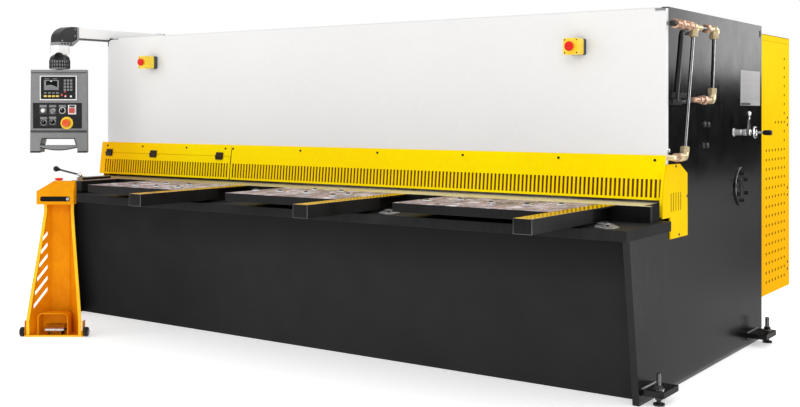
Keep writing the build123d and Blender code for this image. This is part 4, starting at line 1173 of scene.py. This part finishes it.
b = Build(PENDANT)
b.use("white_p")
x0, x1, z0, z1 = CX - 110, CX + 108, 1264, 1409
b.prism([(x0, z0), (x1, z0), (x1, z0 + 6), (x0, z0 + 6)], -51, -45, "y")
b.prism([(x0, z1 - 5), (x1, z1 - 5), (x1, z1), (x0, z1)], -51, -45, "y")
b.prism([(x0, z0 + 6), (x0 + 5.5, z0 + 6), (x0 + 5.5, z1 - 5), (x0, z1 - 5)], -51, -45, "y")
b.prism([(x1 - 5.5, z0 + 6), (x1, z0 + 6), (x1, z1 - 5), (x1 - 5.5, z1 - 5)], -51, -45, "y")
b.use("panel_black")
b.box(x0 + 5.0, x1 - 5.0, -49, -45, z0 + 5.5, z1 - 4.5)


def px(u):
    return (u - 58.2) * 5.97 + 8


def pz(v):
    return 1444 - (v - 69.5) * 5.89


# display: grey bezel round a dark window, a pale curve of light along its lower edge
b.use("grey_label")
xa, xb, za, zb = px(44), px(58.6), pz(89.8), pz(79.8)
b.prism([(xa, za), (xb, za), (xb, za + 14), (xa, za + 14)], -51, -48.8, "y")
b.prism([(xa, zb - 5), (xb, zb - 5), (xb, zb), (xa, zb)], -51, -48.8, "y")
b.prism([(xa, za + 14), (xa + 11, za + 14), (xa + 11, zb - 5), (xa, zb - 5)], -51, -48.8, "y")
b.prism([(xb - 9, za + 14), (xb, za + 14), (xb, zb - 5), (xb - 9, zb - 5)], -51, -48.8, "y")
b.use("glass")
b.box(xa + 10.5, xb - 8.5, -50.0, -48.8, za + 13.5, zb - 4.5)
b.use("grey_p")
arc = [(xa + 11, za + 14)]
for k in range(9):
    s_ = k / 8.0
    arc.append((xa + 11 + (xb - xa - 20) * s_, za + 15 + 15 * math.sin(math.pi * (0.25 + 0.72 * s_))))
arc.append((xb - 9, za + 14))
b.prism(arc, -50.4, -49.6, "y")
# painted highlight: a small white dome standing for a glint on the display
b.use("white_p")
b.dome((px(51), -49.9, pz(81)), (px(51), -53, pz(81)), 4.6, 1.0, 0.2, 14, 3)
for u in (46.5, 54.5):
    b.use("grey_label")
    b.box(px(u) - 12, px(u) + 14, -49.8, -48.8, pz(78.9), pz(78.2))


def key(u, v, w, h, mat):
    b.use(mat)
    ring_prism(b, px(u) - w / 2, px(u) + w / 2, pz(v) - h / 2, pz(v) + h / 2, 1.6, -51.6, -48.8)


for r in range(4):
    for cc in range(3):
        key(64.6 + 3.15 * cc, 80.3 + 3.1 * r, 13.0, 12.5, "grey_p")
key(64.8, 91.6, 11, 8, "red_key")
for u in (45.2, 49.4, 53.3, 57.2):
    key(u, 92.8, 14.0, 8.5, "grey_label")
    key(u, 96.0, 17.5, 10.0, "yellow_key")
key(61.6, 94.8, 12, 11, "red_key")
key(65.2, 95.8, 13, 12, "red_key")
b.use("white_p")
b.dome((px(65.2), -51.0, pz(96.2)), (px(65.2), -54, pz(96.2)), 4.4, 1.2, 0.5, 14, 3)
b.dome((px(70.6), -49, pz(96.2)), (px(70.6), -54, pz(96.2)), 6.0, 1.6, 1.5, 18, 3)
b.done("pendant_module_detail", "pendant", 0.6, replaces=("pendant_module",), angle=40)

from_node("pendant_button_panel", "pendant_button_panel_finish", "panel_black", 1.2)
b = Build(PENDANT)


def bezel(x, z, r, mat="zinc", y=-47.0):
    b.use(mat)
    b.lathe((CX + x, y, z), (CX + x, y - 6, z), [(0, r), (1.2, r), (3.0, r - 1.6), (3.0, r - 3.4), (0.6, r - 3.8)], 32)


b.use("grey_label")
for x, z in ((-91, 1229), (-35, 1229), (22.5, 1229), (-88, 1158), (-35, 1160)):
    ring_prism(b, CX + x - 21, CX + x + 21, z - 7, z + 7, 2, -48.2, -46.8)
b.use("white_p")
ring_prism(b, CX + 80 - 24, CX + 80 + 24, 1180, 1236, 3, -47.8, -46.8)
b.use("case_line")
ring_prism(b, CX + 80 - 17, CX + 80 + 17, 1222, 1233, 2, -48.6, -47.6)
b.use("case_line")
for x, z in ((-91, 1203), (-35, 1200), (22.5, 1203), (-88, 1133), (-35, 1136)):
    ring_prism(b, CX + x - 22, CX + x + 22, z - 21, z + 19, 4, -47.9, -46.8)
bezel(-91, 1203, 15)
bezel(-35, 1200, 16)
bezel(22.5, 1203, 19, "white_p")
bezel(-88, 1133, 18)
bezel(-35, 1136, 18)
b.use("zinc")
b.lathe((CX - 35, -47, 1200), (CX - 35, -56, 1200), [(0, 12), (5, 12), (6.4, 10.8), (6.4, 7.0), (5.4, 6.6)], 28)
b.use("black_ox")
b.box(CX - 36.2, CX - 33.8, -54.0, -52.0, 1195, 1205)
b.use("yellow_p")
b.lathe((CX + 49, -47, 1129), (CX + 49, -54, 1129), [(0, 37), (1.5, 37), (3.0, 35.5), (3.2, 18), (1.0, 16.5)], 48)
b.use("black_ox")
for x in (-145, 130):
    for z in (1104, 1241):
        b.lathe((CX + x, -46.8, z), (CX + x, -51, z), [(0, 4.0), (1.2, 3.6), (1.8, 2.4), (0.9, 2.0)], 14)
b.done("pendant_bezels", "pendant", 0.4, angle=40)


def button(nm, body, node, parts):
    bb = Build(PENDANT)
    for mat, fn in parts:
        bb.use(mat)
        fn(bb)
    bb.done(nm, body, 0.5, replaces=(node,), angle=36)


button("start_button_detail", "pendant_start", "pendant_start_button",
       [("white_p", lambda bb: bb.lathe((CX - 91, -40, 1203), (CX - 91, -60, 1203), [(0, 9), (12, 9), (13, 11.4), (16.4, 11.4), (18.0, 10.2), (18.6, 7), (18.8, 1)], 32))])
button("halt_button_detail", "pendant_halt", "pendant_halt_button",
       [("red_key", lambda bb: (bb.cyl((CX + 80, -52, 1201), (CX + 80, -32, 1201), 5.0),
                                bb.prism([(CX + 64, 1188), (CX + 96, 1188), (CX + 96, 1218), (CX + 64, 1218)], -58, -51, "y")))])


def selector(cx, cz, turn=0.0, r=13.0, w=4.2):
    def fn(bb):
        bb.lathe((cx, -40, cz), (cx, -60, cz), [(0, 9), (8, 9), (9, r), (14.5, r), (16, r - 1.2), (16, 2)], 32)
        a = math.radians(turn)
        rot = Matrix.Rotation(a, 3, "Y")
        bb.box(cx - w, cx + w, -64.5, -55.5, cz - r + 1.4, cz + r - 1.4, turn=rot)
    return fn


def pip(cx, cz, turn, r=13.0):
    def fn(bb):
        a = math.radians(turn)
        rot = Matrix.Rotation(a, 3, "Y")
        bb.box(cx - 0.9, cx + 0.9, -65.0, -64.2, cz + 2, cz + r - 2.4, turn=rot, about=(cx, -60, cz))
    return fn


button("mode_knob_detail", "mode_knob", "pendant_mode_knob", [("black", selector(CX + 22.5, 1203, 0, 14.0, 5.0)), ("white_p", pip(CX + 22.5, 1203, 0, 14.0))])
button("selector_1_detail", "selector_1", "pendant_selector_1", [("black", selector(CX - 88, 1133, 28)), ("white_p", pip(CX - 88, 1133, 28))])
button("selector_2_detail", "selector_2", "pendant_selector_2", [("black", selector(CX - 35, 1136, 0)), ("white_p", pip(CX - 35, 1136, 0))])
button("pendant_stop_detail", "pendant_stop", "pendant_stop_button",
       [("orange_red", lambda bb: bb.lathe((CX + 49, -40, 1129), (CX + 49, -80, 1129), [(0, 9), (10, 9), (16, 12), (20, 18), (22, 22), (25, 23.4), (29, 23.0), (32, 20.5), (33.6, 14), (34.2, 4)], 44))])

# ---- pedestal
from_node("pedestal_head", "pedestal_head_finish", "orange_pale", 2.4, 3)
b = Build(PEDESTAL)
wl = math.hypot(96, 125)
front = [(wl - 5, 6), (wl - 5, 84), (124, 239), (92, 396), (60, 562), (44, 655), (44, 699)]
b.use("edge_yellow")
for sgn in (-1, 1):
    pts = [(sgn * (54 + 96 / wl * a), 125 - 125 / wl * a, z) for a, z in front]
    for (xa, ya, za), (xb, yb, zb) in zip(pts, pts[1:]):
        w = 17.0
        v8 = [Vector((xa, ya - 1.6, za)), Vector((xa - sgn * w, ya - 1.6, za)), Vector((xa - sgn * w, ya + 1.6, za)), Vector((xa, ya + 1.6, za)),
              Vector((xb, yb - 1.6, zb)), Vector((xb - sgn * w, yb - 1.6, zb)), Vector((xb - sgn * w, yb + 1.6, zb)), Vector((xb, yb + 1.6, zb))]
        fs = [(3, 2, 1, 0), (4, 5, 6, 7), (0, 1, 5, 4), (1, 2, 6, 5), (2, 3, 7, 6), (3, 0, 4, 7)]
        if sgn < 0:
            fs = [f_[::-1] for f_ in fs]
        b.solid(v8, fs)
b.use("orange")
for sgn in (-1, 1):
    b.prism([(sgn * 54, 125), (sgn * 50, 119), (sgn * 46, 119), (sgn * 46, 125)], 8, 698, "z")
b.use("edge_yellow")
b.box(-153, 153, -1.5, 2.5, 0.5, 9)
b.done("pedestal_folded_edges", "machine", 0.7)

b = Build(PEDESTAL)
b.use("orange_pale")
hood = []
for k in range(7):
    t = math.radians(180 - 15 * k)
    hood.append((-60 + 24 * math.cos(t), 100 + 24 * math.sin(t)))
for k in range(7):
    t = math.radians(90 - 15 * k)
    hood.append((50 + 24 * math.cos(t), 100 + 24 * math.sin(t)))
hood = [(-84, 8)] + hood + [(74, 8)]
b.tube([(x, 2.6, z) for x, z in hood], 2.3, 10)
b.done("hood_rolled_edge", "machine", 0.0)

b = Build(PEDESTAL)
b.use("black_ox")
b.box(-36, 36, 30, 70, 6, 24)
b.box(-58, 58, 62, 72, 26, 34)
b.use("dark_steel")
for k in range(5):
    b.lathe((-30 + 15 * k, 44, 24), (-30 + 15 * k, 44, 31), [(0, 5), (5, 5), (6.5, 3.5)], 14)
b.done("pedal_switch_block", "machine", 0.8)

b = Build(PEDESTAL)
b.use("zinc")
b.prism([(69, 53), (69, 58.6), (14, 42.6), (11.6, 40), (11.6, 36.8), (14, 37.6)], -50, 50, "x")
b.prism([(13.4, 31), (11.4, 31), (11.4, 40), (13.4, 41)], -50, 50, "x")
for k in range(9):
    x = -44 + 11 * k
    b.prism([(62, 55.2), (62, 57.8), (20, 45.6), (20, 43.4)], x - 1.3, x + 1.3, "x")
b.use("dark_steel")
b.cyl((-55, 65, 54), (55, 65, 54), 4.0, 16)
b.done("foot_pedal_detail", "pedal", 0.6, replaces=("foot_pedal",), angle=40)

b = Build(PEDESTAL)
b.use("zinc")
b.lathe((62, 41.5, 729.5), (62, 36, 729.5), [(0, 8.5), (2, 8.5), (3.6, 6.5), (3.8, 3.5), (2.4, 3.2)], 22)
b.use("grey_p")
b.cyl((-76, 50, 729.5), (60, 50, 729.5), 7.4, 20)
# black faces in the grip slot: painted shade inside the slot
b.use("inner")
slot = []
for cx, a0 in ((60, -90), (-72, 90)):
    for k in range(9):
        t = math.radians(a0 + 22.5 * k)
        slot.append((cx + 13.5 * math.cos(t), 729.5 + 13.5 * math.sin(t)))
b.prism(slot, 56.0, 58.5, "y")
b.prism(slot, 41.6, 42.2, "y")
b.done("head_grip_slot", "machine", 0.3)

b = Build(PEDESTAL)
b.use("red")
b.lathe((5, 76, 806), (5, 76, 842), [(0, 6), (20, 6.5), (22, 12), (23.5, 20), (25.5, 21.6), (29, 21.8), (31.5, 20.4), (33.2, 16), (34.0, 8), (34.2, 1)], 40)
b.done("pedestal_mushroom", "pedestal_stop", 0.0, replaces=("pedestal_stop_button",), angle=34)
b = Build(PEDESTAL)
b.use("yellow_p")
b.lathe((5, 76, 823), (5, 76, 828), [(0, 17), (2, 17), (3.4, 15), (3.4, 8)], 32)
b.done("pedestal_button_collar", "machine", 0.0)

for nm, sgn in (("left", -1), ("right", 1)):
    b = Build(PEDESTAL)
    b.use("rubber")
    b.lathe((sgn * 159, 14, 25.3), (sgn * 181, 14, 25.3), [(0, 16), (0.6, 21), (2.4, 24), (5, 25), (17, 25), (19.6, 24), (21.4, 21), (22, 16)], 44)
    b.use("grey_p")
    b.lathe((sgn * 158.6, 14, 25.3), (sgn * 184, 14, 25.3), [(0, 13), (1, 15.5), (21.8, 15.5), (23, 13.5), (23, 6.5), (24.4, 5.5), (24.6, 1)], 32)
    for k in range(5):
        t = 2 * math.pi * k / 5
        b.use("rubber")
        b.lathe((sgn * 181.4, 14 + 10.5 * math.cos(t), 25.3 + 10.5 * math.sin(t)), (sgn * 183, 14 + 10.5 * math.cos(t), 25.3 + 10.5 * math.sin(t)), [(0, 2.2), (0.8, 2.2)], 10)
    b.use("zinc")
    b.cyl((sgn * 148, 14, 25.3), (sgn * 160, 14, 25.3), 4.0, 16)
    b.done("pedestal_wheel_%s_detail" % nm, "wheel_" + nm, 0.0, replaces=("pedestal_wheel_" + nm,), angle=34)

for nm in ("pipe_nuts", "pipe_fittings_finish", "hydraulic_pipes_finish", "return_pipe_black", "gap_lever_bush_detail", "gap_lever_detail"):
    bpy.data.objects[nm].visible_glossy = False

# ------------------------------------------------------------------ stage and light
floor_mat = Net("studio_floor")
r = floor_mat.add("ShaderNodeVectorMath", operation="LENGTH")
floor_mat.link(floor_mat.coord, r.inputs[0])
fade = floor_mat.span(r.outputs["Value"], 0.0, 1.0, 5.5, 14.0)
clear = floor_mat.add("ShaderNodeBsdfTransparent")
both = floor_mat.add("ShaderNodeMixShader")
floor_mat.link(fade, both.inputs["Fac"])
floor_mat.link(floor_mat.bsdf.outputs["BSDF"], both.inputs[1])
floor_mat.link(clear.outputs["BSDF"], both.inputs[2])
floor_mat.link(both.outputs["Shader"], floor_mat.out.inputs["Surface"])
floor_mat.set(Base_Color=(0.90, 0.90, 0.90, 1), Roughness=0.8, Specular_IOR_Level=0.1, Emission_Color=(1, 1, 1, 1), Emission_Strength=0.45)
bm = bmesh.new()
bmesh.ops.create_grid(bm, x_segments=2, y_segments=2, size=16.0)
me = bpy.data.meshes.new("studio_floor")
bm.to_mesh(me)
bm.free()
floor = bpy.data.objects.new("studio_floor", me)
me.materials.append(floor_mat.mat)
floor.location = (0, 0, -0.0005)
bpy.context.scene.collection.objects.link(floor)

# an even white surround; gloss sees a darker room with light from above and from the right
world = bpy.data.worlds.new("studio")
bpy.context.scene.world = world
world.cycles.sampling_method = "NONE"
world.use_nodes = True
wt = world.node_tree
wt.nodes.clear()


def wadd(kind, **props):
    n = wt.nodes.new(kind)
    for k_, v_ in props.items():
        setattr(n, k_, v_)
    return n


def wmath(op, a_, b_=None):
    m = wadd("ShaderNodeMath", operation=op)
    for i_, v_ in enumerate((a_, b_)):
        if v_ is None:
            continue
        if isinstance(v_, (int, float)):
            m.inputs[i_].default_value = v_
        else:
            wt.links.new(v_, m.inputs[i_])
    return m.outputs["Value"]


def wstep(v_, lo_, hi_):
    m = wadd("ShaderNodeMapRange", interpolation_type="SMOOTHSTEP")
    m.inputs["From Min"].default_value = lo_
    m.inputs["From Max"].default_value = hi_
    wt.links.new(v_, m.inputs["Value"])
    return m.outputs["Result"]


gen = wadd("ShaderNodeTexCoord").outputs["Generated"]
sep = wadd("ShaderNodeSeparateXYZ")
wt.links.new(gen, sep.inputs["Vector"])
dx, dy, dz = sep.outputs
above = wmath("MULTIPLY", wstep(dz, 0.30, 0.75), 1.1)
below = wmath("MULTIPLY", wstep(dz, 0.03, -0.10), 0.7)
right = wmath("MULTIPLY", wmath("MULTIPLY", wstep(dx, 0.55, 0.72), wstep(dy, -0.25, 0.0)), 1.0)
stripe = wmath("MULTIPLY", wmath("MULTIPLY", wstep(dx, 0.74, 0.80), wstep(dx, 0.95, 0.90)), wmath("MULTIPLY", wstep(dy, 0.10, 0.22), 6.0))
right = wmath("ADD", right, stripe)
left = wmath("MULTIPLY", wstep(dx, -0.60, -0.85), 0.5)
front = wmath("MULTIPLY", wstep(dy, -0.30, -0.8), 0.05)
env = wmath("ADD", wmath("ADD", wmath("ADD", above, below), wmath("ADD", right, left)), wmath("ADD", front, 0.03))
rays = wadd("ShaderNodeLightPath")
plain = wadd("ShaderNodeBackground")
plain.inputs["Color"].default_value = (1, 1, 1, 1)
plain.inputs["Strength"].default_value = 1.0
gloss = wadd("ShaderNodeBackground")
gloss.inputs["Color"].default_value = (1, 1, 1, 1)
wt.links.new(env, gloss.inputs["Strength"])
pick = wadd("ShaderNodeMixShader")
wt.links.new(rays.outputs["Is Glossy Ray"], pick.inputs["Fac"])
wt.links.new(plain.outputs["Background"], pick.inputs[1])
wt.links.new(gloss.outputs["Background"], pick.inputs[2])
wt.links.new(pick.outputs["Shader"], wadd("ShaderNodeOutputWorld").inputs["Surface"])


def area(name, loc, target, size, power, color=(1, 1, 1)):
    d = bpy.data.lights.new(name, "AREA")
    d.shape = "RECTANGLE"
    d.size, d.size_y = size
    d.energy = power
    d.color = color
    o = bpy.data.objects.new(name, d)
    o.location = loc
    o.rotation_euler = (Vector(target) - Vector(loc)).to_track_quat("-Z", "Y").to_euler()
    o.visible_camera = False
    bpy.context.scene.collection.objects.link(o)
    return o


def card(name, verts, strength, far=None):
    """A studio card that only gloss sees; far is its strength at the end away from the front."""
    me_ = bpy.data.meshes.new(name)
    me_.from_pydata([tuple(v_) for v_ in verts], [], [(0, 1, 2, 3)])
    o = bpy.data.objects.new(name, me_)
    m = bpy.data.materials.new(name)
    m.use_nodes = True
    m.node_tree.nodes.clear()
    e = m.node_tree.nodes.new("ShaderNodeEmission")
    e.inputs["Strength"].default_value = strength
    if far is not None:
        co = m.node_tree.nodes.new("ShaderNodeTexCoord")
        se = m.node_tree.nodes.new("ShaderNodeSeparateXYZ")
        mr = m.node_tree.nodes.new("ShaderNodeMapRange")
        mr.inputs["From Min"].default_value = 1.8
        mr.inputs["From Max"].default_value = 4.0
        mr.inputs["To Min"].default_value = strength
        mr.inputs["To Max"].default_value = far
        m.node_tree.links.new(co.outputs["Object"], se.inputs["Vector"])
        m.node_tree.links.new(se.outputs["Y"], mr.inputs["Value"])
        m.node_tree.links.new(mr.outputs["Result"], e.inputs["Strength"])
    out = m.node_tree.nodes.new("ShaderNodeOutputMaterial")
    m.node_tree.links.new(e.outputs["Emission"], out.inputs["Surface"])
    me_.materials.append(m)
    bpy.context.scene.collection.objects.link(o)
    o.visible_camera = False
    o.visible_diffuse = False
    o.visible_shadow = False
    o.visible_transmission = False
    o.visible_volume_scatter = False
    return o


area("key", (4.2, -6.5, 4.6), (0.6, -0.4, 0.7), (4.0, 2.5), 55)
area("fill_left", (-5.5, -5.5, 3.2), (-1.4, -0.4, 1.0), (3.0, 3.0), 49)
area("side", (7.0, 2.5, 3.0), (1.8, 0.3, 0.8), (2.5, 2.5), 30)
CARD_X = 2.7
card("card_dark", [(CARD_X, 0.9, 0.74), (CARD_X, 6.5, 0.74), (CARD_X, 6.5, 1.46), (CARD_X, 0.9, 1.46)], 0.0)
card("card_bright", [(CARD_X, 2.15, 1.462), (CARD_X, 6.5, 1.462), (CARD_X, 6.5, 3.0), (CARD_X, 2.15, 3.0)], 2.25)
card("card_dim", [(CARD_X, 0.9, 1.462), (CARD_X, 2.148, 1.462), (CARD_X, 2.148, 3.0), (CARD_X, 0.9, 3.0)], 1.0)
card("card_ground", [(1.82, -2.4, 0.0012), (CARD_X, -2.4, 0.0012), (CARD_X, 6.5, 0.0012), (1.82, 6.5, 0.0012)], 0.46, far=0.18)
card("card_low", [(CARD_X, 0.9, -0.0004), (CARD_X, 6.5, -0.0004), (CARD_X, 6.5, 0.738), (CARD_X, 0.9, 0.738)], 0.50, far=0.18)

cam_data = bpy.data.cameras.new("camera")
cam = bpy.data.objects.new("camera", cam_data)
cam.location = (3.5489, -4.9621, 1.20)
cam.rotation_euler = (math.radians(90), 0, math.radians(35))
cam_data.sensor_width = 36.0
cam_data.lens = 49.19
cam_data.shift_y = -0.1156
cam_data.clip_end = 200.0
bpy.context.scene.collection.objects.link(cam)
bpy.context.scene.camera = cam
bpy.context.scene.view_settings.view_transform = "Standard"
